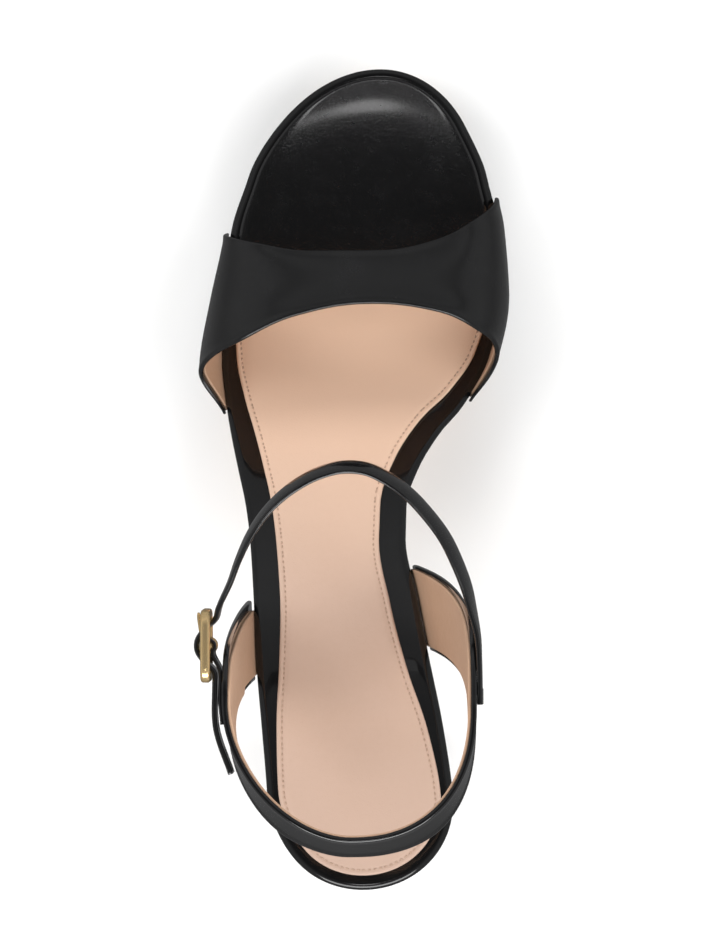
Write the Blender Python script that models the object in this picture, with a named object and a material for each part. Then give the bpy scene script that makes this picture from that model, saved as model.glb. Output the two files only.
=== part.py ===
# Left platform sandal with a block heel, a wide front strap, a back strap and a buckled ankle strap.
# Units are metres. +X points to the big-toe side, +Y to the toe and +Z up.
# The origin is on the floor, under the middle of the heel's tread.
import math

import bmesh
import bpy
from mathutils import Vector

# Sole, lengths seen from above
SOLE_LENGTH = 0.2245
BALL_WIDTH = 0.0785
TOE_SWING = 0.0033  # how far the toe tip lies to the big-toe side of the heel's middle line
HEEL_ROUND = 0.026  # length over which the heel end rounds off
TOE_ROUND = 0.030
HEEL_HEIGHT = 0.085  # floor to the footbed's underside at the back
TOE_SPRING = 0.006
FOOTBED_THICKNESS = 0.005
FOOTBED_EDGE = 0.0021  # radius of the footbed's upper edge
FOOTBED_UNDER_EDGE = 0.0008
SEAT_DISH = 0.0014
PLATFORM_HEIGHT = 0.0165
PLATFORM_INSET = 0.0003  # how far the platform's side lies in from the footbed's
OUTSOLE_THICKNESS = 0.0025
OUTSOLE_INSET = 0.0012
OUTSOLE_WAIST_INSET = 0.0034
SOCK_THICKNESS = 0.0012
RIM_WIDTH = 0.0074  # widest strip of footbed left bare beside the sock
CLEARANCE = 0.0003

# Heel
TREAD_WIDTH = 0.034
TREAD_DEPTH = 0.031
TREAD_SETBACK = 0.0245  # heel back to the middle of the tread
HEEL_INSET = 0.0008
TOP_PIECE_HEIGHT = 0.005

# Front strap
FRONT_STRAP_WALL = 0.0018
BALL_HEIGHT = 0.0490  # platform top to the strap's middle, over the ball
ARCH_ROUNDNESS = 2.4  # exponent of the strap's arch: 2 is an ellipse
OUTER_BULGE = 0.0054  # how far the strap's rear swells outwards on the little-toe side
INNER_BULGE = 0.0024  # and on the big-toe side
FRONT_BULGE_SHARE = 0.10  # how much of that is left at the strap's front edge
CREST_SHIFT = 0.0040  # how far the top of the arch lies to the big-toe side

# Ankle ring, which the back strap and the ankle strap follow
RING_HEIGHT = 0.1475  # floor to the middle of the straps
RING_MIDDLE = -0.0016  # x of the ring's middle line
RING_HALF_WIDTH = 0.0317
RING_CENTRE = 0.0540  # heel back to the widest part
RING_BACK = 0.0196  # heel back to the back strap's upper edge
RING_FRONT = 0.1155  # heel back to the ankle strap's middle, at the front
RING_FRONT_ROUNDNESS = 2.5  # exponents of the ring's quarters: 2 is an ellipse
RING_INNER_ROUNDNESS = 2.3
RING_OUTER_ROUNDNESS = 1.8
QUARTER_WALL = 0.0020
QUARTER_ROUNDNESS = 1.7  # exponent of the curve from the sole up to the ring
BACK_STRAP_HEIGHT = 0.0120
BACK_STRAP_FLARE = 0.0048  # how far the lower edge stands out at the back

# Ankle strap and buckle
ANKLE_STRAP_WIDTH = 0.0080
ANKLE_STRAP_WALL = 0.0015
ANKLE_STRAP_LEAN = math.radians(16)
ANKLE_STRAP_RISE = 0.0060  # how far the front stands above the sides
STRAP_START = 0.0560  # heel back to the end held on the inner quarter
STRAP_TIP = 0.0380  # heel back to the free end
FREE_END_GAP = 0.0024  # how far the free end stands off the back strap
SPARE_HOLES = 3
HOLE_RADIUS = 0.0011
HOLE_SPACING = 0.0060
BUCKLE_BAR = 0.0690  # heel back to the middle bar
FRAME_LENGTH = 0.0190
FRAME_HEIGHT = 0.0158
FRAME_WIRE = 0.0024
FRAME_DEPTH = 0.0026
FRAME_CORNER = 0.0042
FRAME_SOFTNESS = 0.0007
FRAME_SLANT = 0.0014  # how far inside the frame's front bar the strap comes in
BAR_RADIUS = 0.0008
BAR_INSET = 0.0008  # how far the middle bar lies inside the frame's middle
TAB_WALL = 0.0010
TAB_WIDTH = 0.0076
TAB_LENGTH = 0.0200
TAB_SLOT = 0.0030
TRIM_GAP = 0.0002
PRONG_RADIUS = 0.0006

HEEL_BACK_Y = -TREAD_SETBACK
FLARE_START = math.radians(25)  # ways round the ring over which the flare fades out
FLARE_END = math.radians(90)
HALF_CUT = 1 - math.sqrt(0.5)  # how far a rounded corner's middle lies in from the corner
ROWS = 40  # rows of points along the whole sole
ACROSS = 6

# Places along the sole, as shares of SOLE_LENGTH
HEEL_BREAST_SHARE = 0.235
PLATFORM_START_SHARE = 0.375
FOREFOOT_SHARE = 0.700
SOCK_FRONT_SHARE = 0.735
SPRING_START_SHARE = 0.840

# Sole outline. along is a share of SOLE_LENGTH; outer and inner are shares of BALL_WIDTH
# from the middle line; rim is a share of RIM_WIDTH.
SOLE_COLUMNS = ("along", "outer", "inner", "rim")
SOLE_ROWS = (
    (0.000, 0.333, 0.333, 0.56),
    (0.050, 0.323, 0.322, 0.53),
    (0.120, 0.337, 0.303, 0.43),
    (0.200, 0.362, 0.264, 0.58),
    (0.270, 0.385, 0.218, 0.86),
    (0.350, 0.403, 0.166, 1.00),
    (0.420, 0.424, 0.122, 0.98),
    (0.460, 0.444, 0.122, 0.97),
    (0.500, 0.474, 0.156, 0.96),
    (0.545, 0.507, 0.229, 0.90),
    (0.580, 0.528, 0.312, 0.76),
    (0.640, 0.551, 0.402, 0.56),
    (0.720, 0.553, 0.446, 0.42),
    (0.800, 0.528, 0.431, 0.34),
    (0.866, 0.470, 0.385, 0.31),
    (0.930, 0.415, 0.346, 0.31),
    (1.000, 0.374, 0.341, 0.31),
)
# Side profile. climb is a share of the rise from forefoot to heel; platform is a share of
# PLATFORM_HEIGHT.
PROFILE_COLUMNS = ("along", "climb", "platform")
PROFILE_ROWS = (
    (0.000, 1.000, 0.00),
    (0.100, 0.962, 0.00),
    (0.200, 0.885, 0.00),
    (0.300, 0.765, 0.00),
    (0.375, 0.637, 0.06),
    (0.440, 0.507, 0.30),
    (0.500, 0.370, 0.55),
    (0.560, 0.226, 0.77),
    (0.610, 0.112, 0.91),
    (0.650, 0.043, 0.98),
    (0.685, 0.006, 1.00),
    (0.705, 0.000, 1.00),
    (1.000, 0.000, 1.00),
)
# Front strap. turn is a share of the half turn over the foot, from the little-toe side;
# front and rear are shares of SOLE_LENGTH.
STRAP_COLUMNS = ("turn", "front", "rear")
STRAP_ROWS = (
    (0.000, 0.796, 0.568),
    (0.040, 0.793, 0.597),
    (0.083, 0.790, 0.624),
    (0.167, 0.784, 0.645),
    (0.250, 0.778, 0.661),
    (0.375, 0.768, 0.692),
    (0.500, 0.768, 0.707),
    (0.625, 0.783, 0.697),
    (0.750, 0.809, 0.675),
    (0.833, 0.822, 0.661),
    (0.917, 0.833, 0.637),
    (0.960, 0.838, 0.611),
    (1.000, 0.840, 0.584),
)
# Height of the foot under the front strap, as a share of BALL_HEIGHT.
INSTEP_COLUMNS = ("along", "height")
INSTEP_ROWS = (
    (0.500, 1.42),
    (0.580, 1.32),
    (0.640, 1.20),
    (0.707, 1.03),
    (0.768, 0.79),
    (0.850, 0.62),
)
# Quarters. rear and front are where the edges leave the sole, rear_join and front_join are
# where they level off into the back strap, all as shares of SOLE_LENGTH.
QUARTER_COLUMNS = ("rear", "front", "rear_join", "front_join")
QUARTERS = {
    "inner": (0.287, 0.385, 0.175, 0.236),
    "outer": (0.251, 0.342, 0.165, 0.262),
}
# Shape of a quarter's edge. rise is a share of the height up to the strap; sweep is a share
# of the way back from the sole to the join.
EDGE_COLUMNS = ("run", "rise", "sweep")
EDGE_ROWS = (
    (0.0, 0.00, 0.00),
    (0.2, 0.27, 0.06),
    (0.4, 0.54, 0.16),
    (0.6, 0.79, 0.32),
    (0.8, 0.95, 0.55),
    (1.0, 1.00, 1.00),
)
QUARTER_RUN_SHARE = 0.34  # share of the strap's run that each quarter takes
# The ankle strap's middle round the front, from the inner side. across is a share of
# RING_HALF_WIDTH from the ring's middle line, ahead a share of the way from RING_CENTRE to
# RING_FRONT, and lean a share of ANKLE_STRAP_LEAN.
ANKLE_COLUMNS = ("across", "ahead", "lean")
ANKLE_ROWS = (
    (1.003, 0.397, 0.55),
    (0.962, 0.483, 0.80),
    (0.883, 0.593, 0.95),
    (0.776, 0.706, 1.00),
    (0.634, 0.805, 1.00),
    (0.489, 0.885, 1.00),
    (0.315, 0.951, 1.00),
    (0.142, 0.992, 1.00),
    (-0.045, 1.000, 1.00),
    (-0.254, 0.973, 0.95),
    (-0.468, 0.912, 0.85),
    (-0.647, 0.832, 0.72),
    (-0.798, 0.728, 0.60),
    (-0.912, 0.607, 0.42),
    (-0.984, 0.506, 0.25),
)


def smooth(rows, columns, name, at):
    # Value of a column at a share, on a monotone cubic curve through the rows.
    column = columns.index(name)
    xs = [row[0] for row in rows]
    ys = [row[column] for row in rows]
    at = min(max(at, xs[0]), xs[-1])
    span = next(i for i in range(len(xs) - 1) if at <= xs[i + 1])

    def slope(i):
        return (ys[i + 1] - ys[i]) / (xs[i + 1] - xs[i])

    def tangent(i):
        if i in (0, len(xs) - 1):
            return slope(min(i, len(xs) - 2))
        before, after = slope(i - 1), slope(i)
        if before * after <= 0:
            return 0.0
        return 2 * before * after / (before + after)

    width = xs[span + 1] - xs[span]
    t = (at - xs[span]) / width
    return (
        ys[span] * (1 + 2 * t) * (1 - t) ** 2
        + tangent(span) * width * t * (1 - t) ** 2
        + ys[span + 1] * t * t * (3 - 2 * t)
        + tangent(span + 1) * width * t * t * (t - 1)
    )


def mix(a, b, share):
    return a + (b - a) * share


def ease(share):
    share = min(max(share, 0.0), 1.0)
    return share * share * (3 - 2 * share)


def curve_at(points, share):
    # Point at a share of the length along a smooth curve through the points.
    spans = [(b.to_2d() - a.to_2d()).length for a, b in zip(points, points[1:])]
    rest = min(max(share, 0.0), 1.0) * sum(spans)
    i = 0
    while i < len(spans) - 1 and rest > spans[i]:
        rest -= spans[i]
        i += 1

    def tangent(j):
        if j in (0, len(spans)):
            k = min(j, len(spans) - 1)
            return (points[k + 1] - points[k]) / spans[k]
        before = (points[j] - points[j - 1]) / spans[j - 1]
        after = (points[j + 1] - points[j]) / spans[j]
        return (before * spans[j] + after * spans[j - 1]) / (spans[j - 1] + spans[j])

    t = rest / spans[i]
    late = t * t * (3 - 2 * t)
    return (
        points[i] * (1 - late) + points[i + 1] * late
        + tangent(i) * (spans[i] * t * (1 - t) ** 2)
        + tangent(i + 1) * (spans[i] * t * t * (t - 1))
    )


def y_at(along):
    return HEEL_BACK_Y + along * SOLE_LENGTH


def along_at(y):
    return min(max((y - HEEL_BACK_Y) / SOLE_LENGTH, 0.0), 1.0)


# The sole's form. A turn runs round its outline, from 0 at the heel back to pi at the toe
# tip along the inner side, and to -pi along the outer side.


def turn_at(along):
    return math.acos(1 - 2 * along)


def along_of(turn):
    return (1 - math.cos(turn)) / 2


def end_rounding(along):
    heel = min(1.0, along * SOLE_LENGTH / HEEL_ROUND)
    toe = min(1.0, (1 - along) * SOLE_LENGTH / TOE_ROUND)
    return math.sqrt(max(0.0, 1 - (1 - heel) ** 2)) * math.sqrt(max(0.0, 1 - (1 - toe) ** 2))


def edge_x(along, side):
    # x of the footbed's edge; side is 1 for the big-toe side and -1 for the other.
    name = "inner" if side > 0 else "outer"
    half = BALL_WIDTH * smooth(SOLE_ROWS, SOLE_COLUMNS, name, along) * end_rounding(along)
    return TOE_SWING * along + side * half


def plan_point(turn, distance=0.0):
    # A point of the footbed's outline, moved inwards by a distance.
    along = along_of(turn)
    here = Vector((edge_x(along, 1 if turn > 0 else -1), y_at(along)))
    if not distance:
        return here
    small = 0.004
    nearby = [along_of(turn + step) for step in (-small, small)]
    sides = [1 if math.sin(turn + step) > 0 else -1 for step in (-small, small)]
    before, after = (Vector((edge_x(a, s), y_at(a))) for a, s in zip(nearby, sides))
    tangent = (after - before).normalized()
    return here + Vector((-tangent.y, tangent.x)) * distance


def footbed_under(y):
    along = along_at(y)
    forefoot = OUTSOLE_THICKNESS + PLATFORM_HEIGHT + 2 * CLEARANCE
    climb = smooth(PROFILE_ROWS, PROFILE_COLUMNS, "climb", along)
    spring = TOE_SPRING * (max(0.0, along - SPRING_START_SHARE) / (1 - SPRING_START_SHARE)) ** 2
    return forefoot + (HEEL_HEIGHT - forefoot) * climb + spring


def footbed_top(x, y):
    # The seat is dished across, and flat at its edges and from the waist on.
    along = along_at(y)
    left, right = edge_x(along, -1), edge_x(along, 1)
    half = max((right - left) / 2, CLEARANCE)
    across = min(1.0, abs(x - (left + right) / 2) / half)
    depth = SEAT_DISH * math.sin(math.pi * min(1.0, along / PLATFORM_START_SHARE))
    return footbed_under(y) + FOOTBED_THICKNESS - depth * (1 - across * across)


def platform_share(y):
    return smooth(PROFILE_ROWS, PROFILE_COLUMNS, "platform", along_at(y))


def platform_under(y):
    return footbed_under(y) - CLEARANCE - PLATFORM_HEIGHT * platform_share(y)


def outsole_top(y):
    return platform_under(y) - CLEARANCE * ease(platform_share(y) / 0.05)


def rim(along):
    return RIM_WIDTH * smooth(SOLE_ROWS, SOLE_COLUMNS, "rim", along)


def outsole_inset(along):
    waist = PLATFORM_START_SHARE
    return mix(OUTSOLE_WAIST_INSET, OUTSOLE_INSET, ease((along - waist) / (FOREFOOT_SHARE - waist)))


# Slabs: solids made of levels, each level a list of rows with a left and a right point


def turns_between(start=0.0, end=1.0):
    first, last = turn_at(start), turn_at(end)
    inner = [math.pi * k / ROWS for k in range(ROWS + 1)]
    gap = math.pi / ROWS / 3
    return [first] + [t for t in inner if first + gap < t < last - gap] + [last]


def level(turns, distance, height):
    rows = []
    for turn in turns:
        inwards = distance(along_of(turn))
        left, right = plan_point(-turn, inwards), plan_point(turn, inwards)
        if min(turn, math.pi - turn) < 1e-6:
            left = right = (left + right) / 2
        elif turn in (turns[0], turns[-1]):
            left.y = right.y = y_at(along_of(turn))
        rows.append([Vector((p.x, p.y, height(p.x, p.y))) for p in (left, right)])
    return rows


def boundary(rows):
    lefts = [row[0] for row in rows]
    rights = [row[1] for row in rows]
    front = [rights[-1].lerp(lefts[-1], k / ACROSS) for k in range(1, ACROSS)]
    rear = [lefts[0].lerp(rights[0], k / ACROSS) for k in range(1, ACROSS)]
    return rights + front + lefts[::-1] + rear


def cap(bm, ring, rows, height):
    # Rows of faces that close a level, with the ring's own vertices round the edge.
    count = len(rows)
    front = ring[count:count + ACROSS - 1]
    rear = ring[2 * count + ACROSS - 1:]
    lefts = ring[count + ACROSS - 1:2 * count + ACROSS - 1][::-1]
    grid = []
    for i, (left, right) in enumerate(rows):
        if i == 0:
            middle = rear
        elif i == count - 1:
            middle = front[::-1]
        else:
            middle = []
            for k in range(1, ACROSS):
                point = left.lerp(right, k / ACROSS)
                if height:
                    point.z = height(point.x, point.y)
                middle.append(bm.verts.new(point))
        grid.append([lefts[i]] + middle + [ring[i]])
    for near, far in zip(grid, grid[1:]):
        for k in range(ACROSS):
            bm.faces.new((near[k], near[k + 1], far[k + 1], far[k]))


def slab(name, levels, under, top, collection, material):
    bm = bmesh.new()
    rings = [[bm.verts.new(p) for p in boundary(rows)] for rows in levels]
    join_rings(bm, rings)
    cap(bm, rings[0], levels[0], under)
    cap(bm, rings[-1], levels[-1], top)
    return link_mesh(name, bm, collection, material)


def plate(name, turns, distance, under, top, collection, material, edge=0.0, under_edge=0.0):
    # A sheet whose outline lies in from the footbed's, with rounded edges.
    def at(extra, height, lift):
        return level(turns, lambda a: distance(a) + extra, lambda x, y: height(x, y) + lift)

    levels = [at(under_edge, under, 0.0)]
    if under_edge:
        levels.append(at(under_edge * HALF_CUT, under, under_edge * HALF_CUT))
        levels.append(at(0.0, under, under_edge))
    if edge:
        levels.append(at(0.0, top, -edge))
        levels.append(at(edge * HALF_CUT, top, -edge * HALF_CUT))
    levels.append(at(edge, top, 0.0))
    return slab(name, levels, under, top, collection, material)


# Meshes


def collection_named(name):
    collection = bpy.data.collections.new(name)
    bpy.context.scene.collection.children.link(collection)
    return collection


def join_rings(bm, rings, closed=False):
    pairs = list(zip(rings, rings[1:])) + ([(rings[-1], rings[0])] if closed else [])
    for lower, upper in pairs:
        for i in range(len(lower)):
            j = (i + 1) % len(lower)
            bm.faces.new((lower[i], lower[j], upper[j], upper[i]))


def link_mesh(name, bm, collection, material):
    bmesh.ops.remove_doubles(bm, verts=bm.verts, dist=1e-6)
    bmesh.ops.dissolve_degenerate(bm, edges=bm.edges, dist=1e-7)
    bmesh.ops.recalc_face_normals(bm, faces=bm.faces)
    mesh = bpy.data.meshes.new(name)
    bm.to_mesh(mesh)
    bm.free()
    mesh.materials.append(material)
    mesh.shade_smooth()
    mesh.set_sharp_from_angle(angle=math.radians(40))
    piece = bpy.data.objects.new(name, mesh)
    collection.objects.link(piece)
    return piece


def loft(name, rings, collection, material, closed=False):
    # A skin through rings that have the same number of points.
    bm = bmesh.new()
    verts = [[bm.verts.new(p) for p in ring] for ring in rings]
    join_rings(bm, verts, closed)
    if not closed:
        bm.faces.new(verts[0][::-1])
        bm.faces.new(verts[-1])
    return link_mesh(name, bm, collection, material)


def strip_ring(surface, s, wall, steps):
    # One section of a strap: along the inside, round the edge and back along the outside.
    small = 1e-3
    low, high = max(s - small, 0.0), min(s + small, 1.0)
    inside, outside = [], []
    for k in range(steps + 1):
        v = k / steps
        point = surface(s, v)
        run = surface(high, v) - surface(low, v)
        across = surface(s, min(v + small, 1.0)) - surface(s, max(v - small, 0.0))
        normal = run.cross(across).normalized()
        inside.append(point - normal * wall / 2)
        outside.append(point + normal * wall / 2)
    ends = []
    for k, inwards in ((steps, -1), (0, 1)):
        step = (inside[k] - inside[k + inwards]).normalized()
        ends.append(inside[k].lerp(outside[k], 0.5) + step * wall * 0.35)
    return inside + [ends[0]] + outside[::-1] + [ends[1]]


def strip(name, surface, wall, stations, steps, collection, material):
    rings = [strip_ring(surface, s, wall, steps) for s in stations]
    return loft(name, rings, collection, material)


def cutter(name, mesh_object, cutters):
    mesh_object.name = name
    for owner in list(mesh_object.users_collection):
        owner.objects.unlink(mesh_object)
    cutters.objects.link(mesh_object)
    mesh_object.hide_render = True
    mesh_object.display_type = "WIRE"
    return mesh_object


def combine(piece, tool, operation):
    modifier = piece.modifiers.new(tool.name, "BOOLEAN")
    modifier.operation = operation
    modifier.solver = "EXACT"
    modifier.object = tool


def cylinder(start, end, radius, sides=16):
    bpy.ops.mesh.primitive_cylinder_add(
        vertices=sides, radius=radius, depth=(end - start).length, location=(start + end) / 2,
    )
    made = bpy.context.object
    made.rotation_euler = (end - start).to_track_quat("Z", "Y").to_euler()
    return made


def material(name, colour, roughness, metallic=0.0, coat=0.0):
    made = bpy.data.materials.new(name)
    made.use_nodes = True
    shader = made.node_tree.nodes["Principled BSDF"]
    shader.inputs["Base Color"].default_value = (*colour, 1.0)
    shader.inputs["Roughness"].default_value = roughness
    shader.inputs["Metallic"].default_value = metallic
    shader.inputs["Coat Weight"].default_value = coat
    made.diffuse_color = (*colour, 1.0)
    return made


# Sole pieces


def build_footbed(collection, patent):
    return plate(
        "footbed", turns_between(), lambda a: 0.0, lambda x, y: footbed_under(y), footbed_top,
        collection, patent, edge=FOOTBED_EDGE, under_edge=FOOTBED_UNDER_EDGE,
    )


def build_platform(collection, patent):
    return plate(
        "platform", turns_between(start=PLATFORM_START_SHARE),
        lambda a: PLATFORM_INSET, lambda x, y: platform_under(y),
        lambda x, y: footbed_under(y) - CLEARANCE, collection, patent,
    )


def build_outsole(collection, leather):
    return plate(
        "outsole", turns_between(start=HEEL_BREAST_SHARE + CLEARANCE / SOLE_LENGTH), outsole_inset,
        lambda x, y: outsole_top(y) - OUTSOLE_THICKNESS, lambda x, y: outsole_top(y),
        collection, leather,
    )


def sock_under(x, y):
    return footbed_top(x, y) + CLEARANCE


def sock_top(x, y):
    return sock_under(x, y) + SOCK_THICKNESS


def build_sock(collection, lining):
    turns = turns_between(end=SOCK_FRONT_SHARE)
    return plate("sock", turns, rim, sock_under, sock_top, collection, lining)


def build_toe_sock(collection, patent):
    turns = turns_between(start=SOCK_FRONT_SHARE + CLEARANCE / SOLE_LENGTH)
    return plate("toe_sock", turns, rim, sock_under, sock_top, collection, patent)


# Heel


def heel_rows(rise, low, high):
    # A level of the heel between low(y) and high(y), from the tread at 0 to the seat at 1.
    flare = rise ** 2.2
    turns = turns_between(end=HEEL_BREAST_SHARE)
    seat = level(turns, lambda a: HEEL_INSET, lambda x, y: 0.0)
    back, front = seat[0][0].y, seat[-1][0].y
    rows = []
    for left, right in seat:
        depth = ((left.y + right.y) / 2 - back) / (front - back)
        half = TREAD_WIDTH / 2 * math.sqrt(max(0.0, 1 - (1 - min(1.0, depth / 0.55)) ** 2))
        row = []
        for side, point in ((-1, left), (1, right)):
            tread = Vector((side * half, TREAD_DEPTH * (depth - 0.5)))
            plan = tread.lerp(point.to_2d(), flare)
            row.append(Vector((plan.x, plan.y, mix(low(point.y), high(point.y), rise))))
        rows.append(row)
    return rows


def build_heel(collection, patent):
    low = TOP_PIECE_HEIGHT + CLEARANCE
    levels = [
        heel_rows(rise, lambda y: low, lambda y: footbed_under(y) - CLEARANCE)
        for rise in (0.0, 0.25, 0.45, 0.62, 0.76, 0.88, 1.0)
    ]
    return slab("heel", levels, None, None, collection, patent)


def build_heel_tip(collection, rubber):
    levels = [heel_rows(0.0, lambda y: z, lambda y: z) for z in (0.0, TOP_PIECE_HEIGHT)]
    return slab("heel_tip", levels, None, None, collection, rubber)


# Front strap


def front_strap_surface(s, v):
    # s runs over the foot from the outer side; v runs from the rear edge to the front edge.
    front = smooth(STRAP_ROWS, STRAP_COLUMNS, "front", s)
    rear = smooth(STRAP_ROWS, STRAP_COLUMNS, "rear", s)
    along = mix(rear, front, v)
    turn = math.pi * s
    over = math.sin(turn)
    cosine = -math.cos(turn)
    across = math.copysign(abs(cosine) ** (2 / ARCH_ROUNDNESS), cosine)
    left, right = edge_x(along, -1), edge_x(along, 1)
    half = (right - left + FRONT_STRAP_WALL) / 2 + CLEARANCE
    swell = ease(over / 0.4) * mix(1.0, FRONT_BULGE_SHARE, ease(v))
    reach = half + swell * (INNER_BULGE if across > 0 else OUTER_BULGE)
    x = (left + right) / 2 + reach * across + CREST_SHIFT * over * over
    height = BALL_HEIGHT * smooth(INSTEP_ROWS, INSTEP_COLUMNS, "height", along)
    y = y_at(along)
    return Vector((x, y, footbed_under(y) + height * over ** (2 / ARCH_ROUNDNESS)))


def build_front_strap(collection, patent):
    stations = [k / 34 for k in range(35)]
    return strip(
        "vamp_strap", front_strap_surface, FRONT_STRAP_WALL, stations, 8, collection, patent,
    )


# Ankle ring. A way round it runs from 0 at the heel back to pi at the front along the inner
# side, and to -pi along the outer side.


def ring_quarter(ahead, side):
    # Length of the ring from its widest part to its front or back, and its roundness there.
    if ahead:
        return RING_FRONT - RING_CENTRE, RING_FRONT_ROUNDNESS
    return RING_CENTRE - RING_BACK, RING_INNER_ROUNDNESS if side > 0 else RING_OUTER_ROUNDNESS


def ring_point(way, offset=0.0):
    def at(angle):
        cosine, sine = math.cos(angle), math.sin(angle)
        length, roundness = ring_quarter(cosine < 0, sine)
        across = math.copysign(abs(sine) ** (2 / roundness), sine)
        back = math.copysign(abs(cosine) ** (2 / roundness), cosine)
        return Vector((
            RING_MIDDLE + RING_HALF_WIDTH * across,
            HEEL_BACK_Y + RING_CENTRE - length * back,
        ))

    small = 0.02
    tangent = (at(way + small) - at(way - small)).normalized()
    return at(way) + Vector((tangent.y, -tangent.x)) * offset


def way_at(distance, side):
    # The way round the ring at a distance from the heel back, on one side.
    ahead = distance - RING_CENTRE
    length, roundness = ring_quarter(ahead > 0, side)
    share = min(1.0, abs(ahead) / length) ** (roundness / 2)
    return side * math.acos(-math.copysign(share, ahead))


def wall_point(way, height):
    # A point of the quarters' surface, at a way round the foot and a height over the floor.
    ring = ring_point(way)
    along = along_at(ring.y)
    side = 1 if way > 0 else -1
    outside = side * (CLEARANCE + QUARTER_WALL / 2)
    foot = edge_x(along, side) + outside
    base = footbed_under(ring.y)
    rise = min(1.0, max(0.0, (height - base) / (RING_HEIGHT - base)))
    share = 1 - (1 - rise) ** QUARTER_ROUNDNESS
    return Vector((mix(foot, ring.x, share), ring.y, height))


def edge_place(side, edge, run, height):
    # Way and height of a quarter's edge; run goes from 0 at the sole to 1 at the join.
    row = QUARTERS["inner" if side > 0 else "outer"]
    start = row[QUARTER_COLUMNS.index(edge)]
    join = row[QUARTER_COLUMNS.index(edge + "_join")]
    sweep = smooth(EDGE_ROWS, EDGE_COLUMNS, "sweep", run)
    rise = smooth(EDGE_ROWS, EDGE_COLUMNS, "rise", run)
    distance = SOLE_LENGTH * mix(start, join, sweep)
    base = footbed_under(y_at(start))
    return way_at(distance, side), mix(base, height, rise)


def back_strap_surface(s, v):
    # s runs from the outer quarter's foot, round the heel, to the inner quarter's foot;
    # v runs from the rear or lower edge to the front or upper edge.
    side = -1 if s < 0.5 else 1
    run = (0.5 - abs(s - 0.5)) / QUARTER_RUN_SHARE
    low = RING_HEIGHT - BACK_STRAP_HEIGHT / 2
    high = RING_HEIGHT + BACK_STRAP_HEIGHT / 2
    rear_way, rear_height = edge_place(side, "rear", min(run, 1.0), low)
    front_way, front_height = edge_place(side, "front", min(run, 1.0), high)
    if run > 1:
        around = (run - 1) / (0.5 / QUARTER_RUN_SHARE - 1)
        rear_way *= 1 - around
        front_way *= 1 - around
    way = mix(rear_way, front_way, v)
    height = mix(rear_height, front_height, v)
    point = wall_point(way or 1e-6, height)
    around = ease((FLARE_END - abs(way)) / (FLARE_END - FLARE_START)) * ease(run)
    below = min(1.0, (high - height) / BACK_STRAP_HEIGHT)
    outwards = ring_point(way, BACK_STRAP_FLARE) - ring_point(way)
    point.x += outwards.x * around * below
    point.y += outwards.y * around * below
    return point


def build_back_strap(collection, patent):
    half = [QUARTER_RUN_SHARE * k / 14 for k in range(14)]
    half += [mix(QUARTER_RUN_SHARE, 0.5, k / 12) for k in range(12)]
    stations = half + [0.5] + [1 - s for s in half[::-1]]
    return strip(
        "back_strap", back_strap_surface, QUARTER_WALL, stations, 5, collection, patent,
    )


# Ankle strap and buckle


def buckle_centre():
    # Middle of the frame, outside the back strap, the buckle's tab and the ankle strap.
    ring = RING_MIDDLE - RING_HALF_WIDTH
    layers = QUARTER_WALL / 2 + CLEARANCE + TAB_WALL + ANKLE_STRAP_WALL + 2 * TRIM_GAP
    return Vector((ring - layers - FRAME_DEPTH / 2, HEEL_BACK_Y + BUCKLE_BAR, RING_HEIGHT))


def bar_centre():
    return buckle_centre() + Vector((BAR_INSET, 0, 0))


def strap_over_bar():
    return BAR_RADIUS + TAB_WALL + 2 * TRIM_GAP + ANKLE_STRAP_WALL / 2 + CLEARANCE


def ankle_strap_route():
    # Points of the strap's middle, from the inner quarter round the front to the free end.
    # Each holds x, y and how far the strap leans, as a share.
    held = QUARTER_WALL / 2 + CLEARANCE + ANKLE_STRAP_WALL / 2
    outer_held = QUARTER_WALL / 2 + CLEARANCE + TAB_WALL + TRIM_GAP + ANKLE_STRAP_WALL / 2
    route = []

    def ring(distance, side, offset, lean):
        point = ring_point(way_at(distance, side), offset)
        route.append(Vector((point.x, point.y, lean)))

    reach = RING_FRONT - STRAP_START
    for share, lean in ((0, 0), (0.13, 0), (0.27, 0.2)):
        ring(STRAP_START + reach * share, 1, held, lean)
    for across, ahead, lean in ANKLE_ROWS:
        route.append(Vector((
            RING_MIDDLE + RING_HALF_WIDTH * across,
            HEEL_BACK_Y + mix(RING_CENTRE, RING_FRONT, ahead),
            lean,
        )))
    centre = buckle_centre()
    inside = centre.x + FRAME_DEPTH / 2 + TRIM_GAP + ANKLE_STRAP_WALL / 2
    front = centre.y + FRAME_LENGTH / 2
    back = centre.y - FRAME_LENGTH / 2
    proud = bar_centre().x - strap_over_bar()
    route.append(Vector((inside + FRAME_SLANT, front + FRAME_WIRE * 0.6, 0.1)))
    route.append(Vector((inside + FRAME_SLANT * 0.6, front, 0)))
    route.append(Vector((inside + TRIM_GAP, front - FRAME_WIRE, 0)))
    route.append(Vector((mix(inside, proud, 0.5), mix(front, centre.y, 0.52), 0)))
    route.append(Vector((proud, centre.y + BAR_RADIUS, 0)))
    route.append(Vector((proud, centre.y - BAR_RADIUS, 0)))
    route.append(Vector((mix(inside, proud, 0.5), mix(back, centre.y, 0.52), 0)))
    route.append(Vector((inside, back + FRAME_WIRE, 0)))
    route.append(Vector((inside, back, 0)))
    for share in (0.45, 1.0):
        distance = mix(BUCKLE_BAR - FRAME_LENGTH / 2 - FRAME_WIRE, STRAP_TIP, share)
        ring(distance, -1, outer_held + share * FREE_END_GAP / 2, 0)
    return route


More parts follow.
